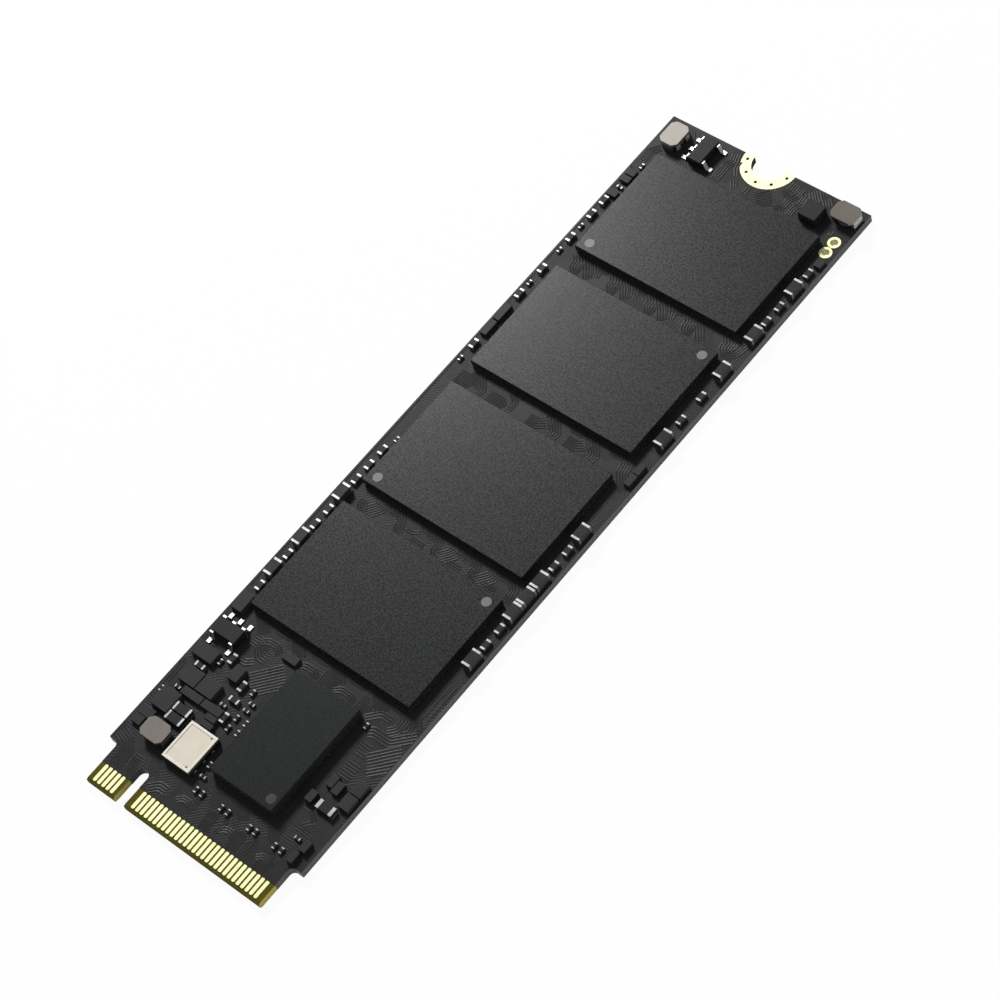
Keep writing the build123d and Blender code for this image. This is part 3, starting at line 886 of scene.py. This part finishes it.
@dataclass
class SolderWork:
    """Concave solder fillets at the metal ends of the small parts."""

    bench: Bench
    reach_share: float = 0.07
    climb_share: float = 0.3
    waist_share: float = 0.35
    half_share: float = 0.44
    overlap: float = 0.02 * MM
    families: tuple[str, ...] = (
        "large_left", "large_right", "low_cross", "medium_left", "medium_right", "medium_power", "small_edge",
        "small_power",
    )

    def _fillet(self, end: Box, outward: Vector) -> Shape:
        """Makes the fillet of one metal end.

        Args:
            end: Box of the metal end.
            outward: Unit direction away from the part's body.

        Returns:
            The fillet as a bmesh of its own.
        """
        shape = bmesh.new()
        across = Vector((outward.y, outward.x, 0.0))
        breadth = abs(end.size.dot(across))
        half = breadth * self.half_share
        reach = breadth * self.reach_share
        climb = end.size.z * self.climb_share
        foot = end.middle + outward * abs(end.size.dot(outward)) / 2
        foot.z = BOARD_TOP
        profile = (
            (-self.overlap, 0.0), (reach, 0.0), (reach * self.waist_share, climb * self.waist_share),
            (-self.overlap, climb),
        )
        outline = [foot + outward * out + Vector((0.0, 0.0, up)) - across * half for out, up in profile]
        face = shape.faces.new([shape.verts.new(corner) for corner in outline])
        grown = bmesh.ops.extrude_face_region(shape, geom=[face])["geom"]
        moved = [part for part in grown if isinstance(part, bmesh.types.BMVert)]
        bmesh.ops.translate(shape, verts=moved, vec=across * 2 * half)
        return shape

    def build(self) -> None:
        """Makes one piece of all the fillets."""
        fillets = Pile()
        for family in self.families:
            bodies = [body.middle for body in self.bench.solids(f"{family}_chips")]
            for end in self.bench.solids(f"{family}_ends"):
                body = min(bodies, key=lambda place: (place - end.middle).length)
                away = end.middle - body
                if abs(away.x) > abs(away.y):
                    outward = Vector((math.copysign(1.0, away.x), 0.0, 0.0))
                else:
                    outward = Vector((0.0, math.copysign(1.0, away.y), 0.0))
                fillets.add(self._fillet(end, outward))
        self.bench.finish("solder_fillets", fillets.shape, "solder")


@dataclass
class SolderBalls:
    """Row of flattened solder balls that shows round the foot of each large package."""

    bench: Bench
    pitch: float = 0.80 * MM
    radius: float = 0.17 * MM
    columns: int = 10
    rows: int = 5

    def _ring(self, pile: Pile, slab: Box) -> None:
        """Adds the balls round one solder layer.

        Args:
            pile: Pile that they are added to.
            slab: Box of the solder layer.
        """
        squash = slab.size.z / (2 * self.radius)
        along_x, along_y = (round(side / self.pitch) for side in slab.size.xy)
        places = []
        for index in range(along_x + 1):
            x = slab.low.x + index * slab.size.x / along_x
            places += [(x, slab.low.y), (x, slab.high.y)]
        for index in range(1, along_y):
            y = slab.low.y + index * slab.size.y / along_y
            places += [(slab.low.x, y), (slab.high.x, y)]
        for x, y in places:
            ball = bmesh.new()
            bmesh.ops.create_uvsphere(ball, u_segments=self.columns, v_segments=self.rows, radius=self.radius)
            place = Matrix.Translation((x, y, slab.middle.z))
            pile.add(ball, place @ Matrix.Diagonal((1.0, 1.0, squash, 1.0)))

    def build(self) -> None:
        """Makes one piece of all the balls."""
        pile = Pile()
        for node in ("memory_attach", "controller_attach"):
            for slab in self.bench.solids(node):
                self._ring(pile, slab)
        self.bench.finish("solder_balls", pile.shape, "ball", smooth=True)


@dataclass
class Windings:
    """Turns of varnished wire on the core of each inductor."""

    bench: Bench
    turns: int = 5
    wire_sides: int = 8
    steps: int = 32

    def _turn(self, core: Box, index: int) -> Shape:
        """Makes one turn of wire.

        Args:
            core: Box of the wound core.
            index: Number of the turn, from below.

        Returns:
            The turn as a bmesh of its own.
        """
        shape = bmesh.new()
        wire = core.size.z / self.turns / 2
        turned = Matrix.Translation((core.size.x / 2 - wire, 0.0, 0.0)) @ Matrix.Rotation(math.pi / 2, 4, "X")
        bmesh.ops.create_circle(shape, cap_ends=False, segments=self.wire_sides, radius=wire, matrix=turned)
        bmesh.ops.spin(
            shape, geom=[*shape.verts, *shape.edges], cent=(0.0, 0.0, 0.0), axis=(0.0, 0.0, 1.0),
            angle=2 * math.pi, steps=self.steps, use_merge=True, use_duplicate=False,
        )
        bmesh.ops.scale(shape, verts=shape.verts, vec=(1.0, core.size.y / core.size.x, 1.0))
        height = core.low.z + wire * (2 * index + 1)
        bmesh.ops.translate(shape, verts=shape.verts, vec=(core.middle.x, core.middle.y, height))
        return shape

    def build(self) -> None:
        """Makes the windings, which stand for the plain cores."""
        pile = Pile()
        for core in self.bench.solids("coil_cores"):
            for index in range(self.turns):
                pile.add(self._turn(core, index))
        piece = self.bench.finish("coil_windings", pile.shape, "winding", smooth=True)
        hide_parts("coil_cores")


@dataclass
class CoilCaps:
    """Ferrite caps of the inductors, with their corners rounded as pressed powder is."""

    bench: Bench
    caps: tuple[str, ...] = ("coil_power_cap", "coil_far_left_cap", "coil_far_right_cap")
    corner_width: float = 0.09 * MM
    edge_width: float = 0.05 * MM
    sharp_angle: float = math.radians(20)

    def _sharp(self, shape: Shape, upright: bool) -> list[bmesh.types.BMEdge]:
        """Edges where two faces meet at a clear angle.

        Args:
            shape: The merged cap.
            upright: Whether upright edges are wanted, or the others.

        Returns:
            The edges.
        """
        found = []
        for edge in shape.edges:
            run = (edge.verts[1].co - edge.verts[0].co).normalized()
            if edge.calc_face_angle(0.0) > self.sharp_angle and (abs(run.z) > 0.9) == upright:
                found.append(edge)
        return found

    def build(self) -> None:
        """Makes a rounded copy of each cap, which stands for it."""
        for name in self.caps:
            shape = self.bench.merged(name, flat=True)
            bevel(shape, self._sharp(shape, upright=True), self.corner_width, segments=4)
            bevel(shape, self._sharp(shape, upright=False), self.edge_width, segments=2)
            piece = self.bench.finish(f"{name}_rounded", shape, self.bench.finish_key(name))
            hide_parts(name)


@dataclass
class CoilWings:
    """Two bent terminals on the inner side of the inductor in the far left corner."""

    bench: Bench
    width: float = 0.50 * MM
    thickness: float = 0.12 * MM
    apart: float = 1.30 * MM
    inset: float = 0.14 * MM
    rounding: float = 0.04 * MM

    def build(self) -> None:
        """Makes one piece of both, from the board to the underside of the cap."""
        pile = Pile()
        (cap,) = self.bench.solids("coil_far_left_cap")
        x = cap.high.x - self.inset
        for side in (-0.5, 0.5):
            y = cap.middle.y + side * self.apart
            low = Vector((x - self.thickness / 2, y - self.width / 2, BOARD_TOP))
            high = Vector((x + self.thickness / 2, y + self.width / 2, cap.low.z))
            pile.add(block(Box(low, high), self.rounding))
        self.bench.finish("coil_wings", pile.shape, "wing")


@dataclass
class OscillatorTrim:
    """Plated notches at the foot of the oscillator can and the two small dots on its lid."""

    bench: Bench
    notch_width: float = 0.30 * MM
    notch_height: float = 0.17 * MM
    notch_rounding: float = 0.012 * MM
    proud: float = 0.03 * MM
    rows: tuple[float, ...] = (-1.28 * MM, -0.18 * MM, 0.92 * MM)
    dot_radius: float = 0.085 * MM
    dot_inset: tuple[float, float] = (0.27 * MM, 0.10 * MM)
    dot_height: float = 0.012 * MM

    def _dots(self) -> None:
        """Makes the dots in the two corners of the lid on its right side."""
        pile = Pile()
        (lid,) = self.bench.solids("oscillator_lid")
        x = lid.high.x - self.dot_inset[0]
        z = lid.high.z + self.dot_height / 2
        for y in (lid.low.y + self.dot_inset[1], lid.high.y - self.dot_inset[1]):
            pile.add(disc(self.dot_radius, self.dot_height, top_share=0.8), Matrix.Translation((x, y, z)))
        self.bench.finish("lid_dots", pile.shape, "dot")

    def build(self) -> None:
        """Makes one piece of all the plated notches and one of the dots."""
        pile = Pile()
        (can,) = self.bench.solids("oscillator_base")
        half = Vector((self.proud, self.notch_width / 2, self.notch_height / 2))
        for wall in (can.low.x, can.high.x):
            for row in self.rows:
                middle = Vector((wall, can.middle.y + row, can.low.z + self.notch_height / 2))
                pile.add(block(Box(middle - half, middle + half), self.notch_rounding))
        self.bench.finish("oscillator_notches", pile.shape, "lead")
        self._dots()


@dataclass
class ContactFingers:
    """Gold fingers with both ends rounded, which stand for the plain ones."""

    bench: Bench
    nodes: tuple[str, ...] = ("contacts_top", "contacts_bottom")
    width: float = 0.335 * MM
    mask_gap: float = 0.03 * MM
    corner: float = 0.13 * MM
    segments: int = 4

    def _finger(self, plain: Box) -> Shape:
        """Makes one finger.

        Args:
            plain: Box of the plain finger.

        Returns:
            The finger as a bmesh of its own.
        """
        low = Vector((plain.middle.x - self.width / 2, plain.low.y, plain.low.z))
        high = Vector((plain.middle.x + self.width / 2, plain.high.y - self.mask_gap, plain.high.z))
        shape = block(Box(low, high))
        half = plain.size.z / 2
        upright = [edge for edge in shape.edges if abs((edge.verts[0].co - edge.verts[1].co).z) > half]
        bevel(shape, upright, self.corner, self.segments)
        return shape

    def build(self) -> None:
        """Makes one piece of the fingers of each face."""
        for node in self.nodes:
            pile = Pile()
            for plain in self.bench.solids(node):
                pile.add(self._finger(plain))
            piece = self.bench.finish(f"{node}_rounded", pile.shape, "gold")
            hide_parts(node)


@dataclass
class RegulatorLeads:
    """Bent leads of the regulators, slimmer than the plain ones and with crisp edges."""

    bench: Bench
    node: str = "regulator_leads"
    width: float = 0.38 * MM
    edge_width: float = 0.012 * MM
    sharp_angle: float = math.radians(50)
    margin: float = 1e-6

    def build(self) -> None:
        """Makes a slimmer copy of the leads, which stands for them."""
        shape = self.bench.merged(self.node, flat=True)
        for lead in self.bench.solids(self.node):
            reach = lead.size / 2 + Vector((self.margin, self.margin, self.margin))
            own = [v for v in shape.verts if all(abs(v.co[i] - lead.middle[i]) < reach[i] for i in range(3))]
            narrow = 0 if lead.size.x < lead.size.y else 1
            slimmer = Vector((1.0, 1.0, 1.0))
            slimmer[narrow] = self.width / lead.size[narrow]
            bmesh.ops.scale(shape, verts=own, vec=slimmer, space=Matrix.Translation(-lead.middle))
        sharp = [edge for edge in shape.edges if edge.calc_face_angle(0.0) > self.sharp_angle]
        bevel(shape, sharp, self.edge_width, segments=1)
        piece = self.bench.finish("regulator_leads_slim", shape, "lead")
        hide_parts(self.node)


@dataclass
class StitchHoleShade:
    """Dark discs that stand for the shade inside the small holes that ring the mounting land: painted shade.
    """

    bench: Bench
    ring: float = 2.25 * MM
    radius: float = 0.17 * MM
    angles: tuple[float, ...] = (193.0, 231.5, 270.0, 308.5, 347.0)
    rise: float = 0.002 * MM
    depth: float = 0.02 * MM

    def build(self) -> None:
        """Makes one piece of all the dark discs of painted shade, which stand a hair over the land."""
        pile = Pile()
        (land,) = [box for box in self.bench.solids("mounting_land") if box.high.z > BOARD_TOP / 2]
        for angle in self.angles:
            x = self.ring * math.cos(math.radians(angle))
            y = land.high.y + self.ring * math.sin(math.radians(angle))
            z = BOARD_TOP + self.rise - self.depth / 2
            pile.add(disc(self.radius, self.depth, top_share=0.94), Matrix.Translation((x, y, z)))
        self.bench.finish("stitch_hole_shade", pile.shape, "hole")


@dataclass(frozen=True)
class Bundle:
    """Run of parallel tracks, repeated along X.

    Attributes:
        path: Middle line, in millimetres.
        count: Number of tracks side by side.
        starts: X steps at which the run is repeated, in millimetres.
        pitch: Distance between neighbouring tracks, in millimetres.
    """

    path: tuple[tuple[float, float], ...]
    count: int
    starts: tuple[float, ...] = (0.0,)
    pitch: float = 0.24


GAP_STEPS = (-8.4, -4.2, 0.0, 4.2)
BUNDLES = (
    # Gap between the first and second memory package
    Bundle(((-2.0, -6.0), (-0.35, -6.0), (0.3, -6.5), (0.3, -6.75)), 4, (-4.2, 0.0, 4.2, 8.4)),
    Bundle(((0.45, -6.75), (0.45, -7.2), (0.75, -7.5), (1.15, -7.5)), 4, (-8.4, -4.2, 0.0, 4.2, 8.3)),
    Bundle(((1.2, -7.8), (2.1, -6.65), (2.1, -6.3)), 6, (-8.4, 0.0, 4.2)),
    Bundle(((-2.1, -7.55), (-0.6, -7.55)), 3, (0.0, 4.2, 8.0)),
    Bundle(((-2.9, -7.0), (-2.3, -7.0), (-1.7, -6.55)), 2),
    Bundle(((2.9, -5.7), (3.6, -6.4), (3.6, -6.7)), 4, (-8.4, -4.2, 0.0)),
    # Gap between the second and third memory package
    Bundle(((-8.2, 8.75), (-7.1, 7.75), (-6.8, 7.3), (-7.0, 6.85)), 5, (0.0, 8.5, 12.8)),
    Bundle(((-9.5, 7.5), (-8.4, 7.5), (-7.85, 7.0)), 6),
    Bundle(((-5.8, 7.3), (-4.6, 7.3), (-4.0, 6.85)), 5),
    Bundle(((-1.3, 7.3), (-0.3, 7.3), (0.35, 7.75), (0.45, 8.2)), 5, (0.0, 4.3)),
    Bundle(((2.7, 8.5), (4.1, 8.5)), 3, (0.0, 4.3)),
    Bundle(((8.6, 8.8), (9.05, 8.0), (9.05, 7.4), (9.7, 6.6), (10.4, 6.1)), 5),
    Bundle(((-4.0, 8.6), (-3.3, 7.95), (-3.3, 7.0)), 3),
    # Gap between the third and fourth memory package
    Bundle(((-0.2, 23.2), (0.4, 22.6), (0.3, 22.1), (0.6, 21.75), (1.1, 21.7)), 5, GAP_STEPS + (8.4,)),
    Bundle(((0.95, 22.9), (1.55, 22.3), (1.75, 21.9), (2.2, 21.5)), 4, GAP_STEPS),
    Bundle(((1.9, 23.2), (2.5, 22.5), (2.6, 22.0)), 4, (-8.4, -4.2, 0.0)),
    Bundle(((-2.0, 23.0), (-0.7, 23.0)), 3, (-4.2, 0.0, 4.2)),
    Bundle(((8.9, 21.1), (9.9, 22.1), (10.1, 23.4)), 4),
    # Between the first memory package and the controller
    Bundle(((-7.7, -20.25), (-6.45, -21.45)), 5, (0.0, 4.1, 8.6, 13.3)),
    Bundle(((-5.9, -20.5), (-4.2, -20.5)), 3, (0.0, 4.4, 8.6)),
    Bundle(((-2.0, -22.2), (-1.45, -21.75), (-0.4, -21.75), (0.15, -22.2)), 3, (-4.2, 0.0, 4.1)),
    Bundle(((0.7, -21.0), (0.7, -22.3)), 3, (0.0, 4.2)),
    Bundle(((1.55, -21.3), (1.55, -21.9), (1.95, -22.2)), 4, (0.0, 3.9)),
    Bundle(((6.3, -20.6), (7.0, -21.3)), 4),
    Bundle(((7.0, -20.45), (8.4, -20.45)), 3),
    # Right of the controller
    Bundle(((6.05, -22.6), (7.0, -21.6), (8.1, -21.6)), 3, pitch=0.27),
    Bundle(((8.5, -20.3), (9.1, -20.9), (9.1, -22.0), (8.5, -22.6)), 4, pitch=0.26),
    Bundle(((9.2, -20.1), (10.15, -21.05), (10.15, -21.8), (9.7, -22.1)), 3, pitch=0.27),
    Bundle(((9.9, -20.2), (10.9, -21.2)), 2, pitch=0.3),
    Bundle(((7.15, -23.5), (7.5, -23.2), (9.3, -23.2), (10.9, -21.6)), 4, pitch=0.28),
    Bundle(((8.9, -25.6), (10.9, -23.4)), 6, pitch=0.3),
    Bundle(((9.5, -26.4), (10.9, -25.0)), 3, pitch=0.3),
    Bundle(((7.5, -24.9), (8.5, -24.9)), 5, pitch=0.28),
    Bundle(((7.5, -27.0), (8.8, -27.0)), 6, pitch=0.28),
    Bundle(((10.4, -20.0), (10.4, -16.4)), 2, pitch=0.5),
    Bundle(((7.2, -31.4), (8.1, -31.4), (8.8, -32.0)), 2, pitch=0.3),
    # Left of the controller and among the power parts
    Bundle(((-4.3, -25.9), (-2.15, -23.5)), 9, pitch=0.28),
    Bundle(((-7.0, -22.3), (-6.1, -22.3), (-5.3, -23.1), (-4.6, -23.1)), 5, pitch=0.26),
    Bundle(((-6.8, -24.4), (-6.0, -24.4), (-5.4, -23.9)), 3, pitch=0.26),
    Bundle(((-10.7, -24.2), (-9.9, -25.0), (-9.3, -25.0)), 3, pitch=0.3),
    Bundle(((-10.8, -27.2), (-10.5, -27.5), (-10.5, -29.4)), 2, pitch=0.3),
    Bundle(((-7.0, -31.2), (-6.2, -30.5)), 3, pitch=0.25),
    # Between the parts and the contacts
    Bundle(((1.3, -36.1), (1.5, -36.6), (1.4, -37.1), (1.6, -37.8)), 5, (0.0, 3.15, 6.3), 0.22),
    Bundle(((2.75, -37.1), (3.2, -36.65), (3.9, -36.65), (4.35, -37.1)), 3, (-4.9, 0.0, 4.2), 0.22),
    Bundle(((2.5, -35.8), (2.85, -36.3), (2.6, -37.5)), 2, (-3.2, 0.0, 3.3)),
    Bundle(((2.8, -34.2), (3.9, -35.2)), 4, (0.0, 3.4)),
    Bundle(((6.9, -33.7), (6.9, -34.6)), 4, pitch=0.22),
    Bundle(((-10.6, -35.1), (-9.6, -35.4), (-8.8, -36.2), (-8.8, -37.7)), 5, pitch=0.26),
    Bundle(((-4.9, -37.7), (-4.2, -37.0), (-3.4, -37.0)), 4, pitch=0.26),
    Bundle(((-7.6, -36.2), (-7.4, -36.9), (-7.0, -37.7)), 3, pitch=0.26),
    # Far end, round the half hole
    Bundle(((-3.35, 36.1), (-3.35, 38.0), (-3.0, 38.5), (-3.3, 39.4)), 4),
    Bundle(((-2.5, 38.9), (-2.45, 38.2), (-1.9, 37.4)), 2),
    Bundle(((-1.75, 36.9), (-1.2, 36.2)), 3),
    Bundle(((-0.1, 36.9), (-0.1, 36.2)), 2, pitch=0.3),
    Bundle(((1.3, 36.1), (2.3, 37.1)), 7, pitch=0.26),
    Bundle(((2.9, 37.9), (3.4, 38.4), (3.4, 39.4)), 4),
    Bundle(((3.2, 36.2), (3.8, 36.8), (3.8, 37.7), (4.2, 38.3), (4.2, 39.3)), 3),
    Bundle(((4.75, 36.3), (4.75, 37.2), (5.0, 37.8), (4.9, 38.6)), 3),
    Bundle(((5.2, 39.6), (6.1, 38.7)), 5),
    Bundle(((6.6, 39.5), (7.3, 38.8)), 4),
    Bundle(((-8.4, 39.4), (-8.0, 38.8), (-8.4, 38.1)), 3),
    Bundle(((-9.7, 36.5), (-10.35, 35.7), (-10.35, 34.5)), 4, pitch=0.22),
    Bundle(((8.6, 36.9), (9.2, 36.9), (9.2, 36.3)), 2),
    # Strips beside the packages
    Bundle(((9.35, 22.0), (9.35, 24.5)), 2),
    Bundle(((-10.78, -18.5), (-10.78, 33.5)), 1),
)


@dataclass
class Tracks:
    """Copper tracks that stand up a little under the mask."""

    bench: Bench
    width: float = 0.21 * MM
    height: float = 0.026 * MM
    corner: float = 0.14 * MM
    side_reach: float = 10.92 * MM
    far_reach: float = 39.92 * MM
    snap: float = 1e-8

    @staticmethod
    def _beside(path: list[Vector], distance: float) -> list[Vector]:
        """Line that runs beside another.

        Args:
            path: Corners of the line.
            distance: How far to the left the new line runs.

        Returns:
            Corners of the new line.
        """
        runs = [(after - before).normalized() for before, after in zip(path, path[1:])]
        lefts = [Vector((-run.y, run.x)) for run in runs]
        moved = []
        for index, corner in enumerate(path):
            before = lefts[max(index - 1, 0)]
            after = lefts[min(index, len(lefts) - 1)]
            moved.append(corner + (before + after) / (1.0 + before.dot(after)) * distance)
        return moved

    def _eased(self, path: list[Vector]) -> list[Vector]:
        """Line with its corners trimmed, so that they read as round.

        Args:
            path: Corners of the line.

        Returns:
            Corners of the eased line.
        """
        eased = [path[0]]
        for before, corner, after in zip(path, path[1:], path[2:]):
            for other in (before, after):
                reach = min(self.corner, (other - corner).length / 2)
                eased.append(corner + (other - corner).normalized() * reach)
        return [*eased, path[-1]]

    @staticmethod
    def _draw(curve: bpy.types.Curve, path: list[Vector]) -> None:
        """Draws one track.

        Args:
            curve: Curve that it is added to.
            path: Its corners.
        """
        spline = curve.splines.new("POLY")
        spline.points.add(len(path) - 1)
        for point, corner in zip(spline.points, path):
            point.co = (corner.x, corner.y, 0.0, 1.0)

    def build(self) -> None:
        """Draws every bundle as one curve, turns it to a mesh and flattens it on the board."""
        curve = bpy.data.curves.new("tracks", "CURVE")
        curve.dimensions = "3D"
        curve.bevel_depth = self.width / 2
        curve.bevel_resolution = 0
        for bundle in BUNDLES:
            for start in bundle.starts:
                path = [Vector((x + start, y)) * MM for x, y in bundle.path]
                for index in range(bundle.count):
                    side = (index - (bundle.count - 1) / 2) * bundle.pitch * MM
                    self._draw(curve, self._eased(self._beside(path, side)))
        drawn = put("drawn_tracks", curve)
        mesh = bpy.data.meshes.new_from_object(drawn.evaluated_get(bpy.context.evaluated_depsgraph_get()))
        shape = bmesh.new()
        shape.from_mesh(mesh)
        bpy.data.objects.remove(drawn)
        bpy.data.meshes.remove(mesh)
        sides = (
            (Vector((0.0, 0.0, -1.0)), 0.0), (Vector((-1.0, 0.0, 0.0)), self.side_reach),
            (Vector((1.0, 0.0, 0.0)), self.side_reach), (Vector((0.0, 1.0, 0.0)), self.far_reach),
        )
        for outward, reach in sides:
            bmesh.ops.bisect_plane(
                shape, geom=[*shape.verts, *shape.edges, *shape.faces], plane_co=outward * reach,
                plane_no=outward, dist=self.snap, clear_outer=True,
            )
        bmesh.ops.scale(shape, verts=shape.verts, vec=(1.0, 1.0, 2 * self.height / self.width))
        bmesh.ops.translate(shape, verts=shape.verts, vec=(0.0, 0.0, BOARD_TOP))
        self.bench.finish("raised_tracks", shape, "track")


@dataclass
class Camera:
    """Camera at the photograph's place and angle."""

    target: tuple[float, float, float] = (0.00152286, -0.00009777, 0.0)
    azimuth: float = 57.33173294
    elevation: float = 55.10525182
    roll: float = -20.77002472
    distance: float = 0.25110655
    lens: float = 107.154756
    sensor: float = 36.0

    def axes(self) -> tuple[Vector, Vector, Vector]:
        """Where the camera points.

        Returns:
            Its right, up and back directions.
        """
        turn, rise, roll = (math.radians(a) for a in (self.azimuth, self.elevation, self.roll))
        back = Vector((math.sin(turn) * math.cos(rise), -math.cos(turn) * math.cos(rise), math.sin(rise)))
        level = Vector((math.cos(turn), math.sin(turn), 0.0))
        above = back.cross(level)
        right = level * math.cos(roll) + above * math.sin(roll)
        up = above * math.cos(roll) - level * math.sin(roll)
        return right, up, back

    def build(self) -> None:
        """Makes the camera and sets it as the scene's."""
        right, up, back = self.axes()
        data = bpy.data.cameras.new("camera")
        data.lens = self.lens
        data.sensor_width = self.sensor
        data.clip_start = 0.01
        data.clip_end = 10.0
        camera = put("camera", data)
        turned = Matrix((right, up, back)).transposed().to_4x4()
        camera.matrix_world = Matrix.Translation(Vector(self.target) + back * self.distance) @ turned
        bpy.context.scene.camera = camera


@dataclass
class Studio:
    """Pale floor, white surroundings and one soft key light from the far left."""

    key_place: tuple[float, float, float] = (-0.344, 0.214, 0.325)
    key_size: float = 0.14
    key_power: float = 2.81
    ambient: float = 0.35
    ceiling: float = 0.1
    ceiling_rise: tuple[float, float] = (0.12, 0.35)
    floor_half: float = 1.5
    floor_drop: float = 0.02 * MM
    floor_white: float = 0.9
    background_share: float = 0.95

    @staticmethod
    def _background_rays(tree: Tree) -> Socket:
        """One where a ray comes from the camera, a gloss or a clear material.

        Args:
            tree: Node tree that the nodes go into.

        Returns:
            The mask.
        """
        rays = add_node(tree, "LightPath", {})
        value = rays["Is Camera Ray"]
        for ray in ("Is Glossy Ray", "Is Transmission Ray"):
            value = calculate(tree, "MAXIMUM", value, rays[ray])
        return value

    def world(self) -> None:
        """White surroundings that light the card at a plain level."""
        world = bpy.data.worlds.new("surroundings")
        bpy.context.scene.world = world
        world.use_nodes = True
        tree = world.node_tree
        place = add_node(tree, "TexCoord", {})["Generated"]
        rise = add_node(tree, "SeparateXYZ", {"Vector": place})["Z"]
        wall = remap(tree, rise, source=self.ceiling_rise, target=(1.0, self.ceiling))
        level = blend(tree, self._background_rays(tree), self.ambient, wall, data_type="FLOAT")
        feed(tree, tree.nodes["Background"], {"Color": (1.0, 1.0, 1.0, 1.0), "Strength": level})

    def floor(self) -> None:
        """White floor that keeps a light shadow of the card."""
        shape = bmesh.new()
        bmesh.ops.create_grid(shape, x_segments=1, y_segments=1, size=self.floor_half)
        bmesh.ops.translate(shape, verts=shape.verts, vec=(0.0, 0.0, -self.floor_drop))
        floor = put("floor", to_mesh("floor", shape))
        paper = bpy.data.materials.new("floor")
        paper.use_nodes = True
        tree = paper.node_tree
        tree.nodes.remove(tree.nodes["Principled BSDF"])
        matt = add_node(tree, "BsdfDiffuse", {"Color": (*grey(self.floor_white), 1.0)})[0]
        glow = add_node(tree, "Emission", {"Strength": 1.0})[0]
        share = calculate(tree, "MULTIPLY", self._background_rays(tree), self.background_share)
        both = add_node(tree, "MixShader", {"Fac": share, 1: matt, 2: glow})[0]
        feed(tree, tree.nodes["Material Output"], {"Surface": both})
        floor.data.materials.append(paper)

    def key(self) -> None:
        """Disc light from the far left, turned to the middle of the card."""
        place = Vector(self.key_place)
        data = bpy.data.lights.new("key", "AREA")
        data.shape = "DISK"
        data.size = self.key_size
        data.energy = self.key_power
        lamp = put("key", data)
        lamp.location = place
        lamp.rotation_mode = "QUATERNION"
        lamp.rotation_quaternion = (-place).to_track_quat("-Z", "Y")

    def build(self) -> None:
        """Sets the colour handling and makes floor, surroundings and light."""
        bpy.context.scene.view_settings.view_transform = "Standard"
        self.world()
        self.floor()
        self.key()


def main() -> None:
    """Builds every sub-assembly, the light and the camera."""
    logging.basicConfig(level=logging.INFO, format="%(name)s: %(message)s")
    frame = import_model()
    bench = Bench(frame, Painter(ShaderKit()))
    for assembly in (
        CarriedNodes, SolderWork, SolderBalls, Windings, CoilCaps, CoilWings, OscillatorTrim, ContactFingers,
        RegulatorLeads, StitchHoleShade, Tracks,
    ):
        assembly(bench).build()
    Studio().build()
    Camera().build()


if __name__ == "__main__":
    main()
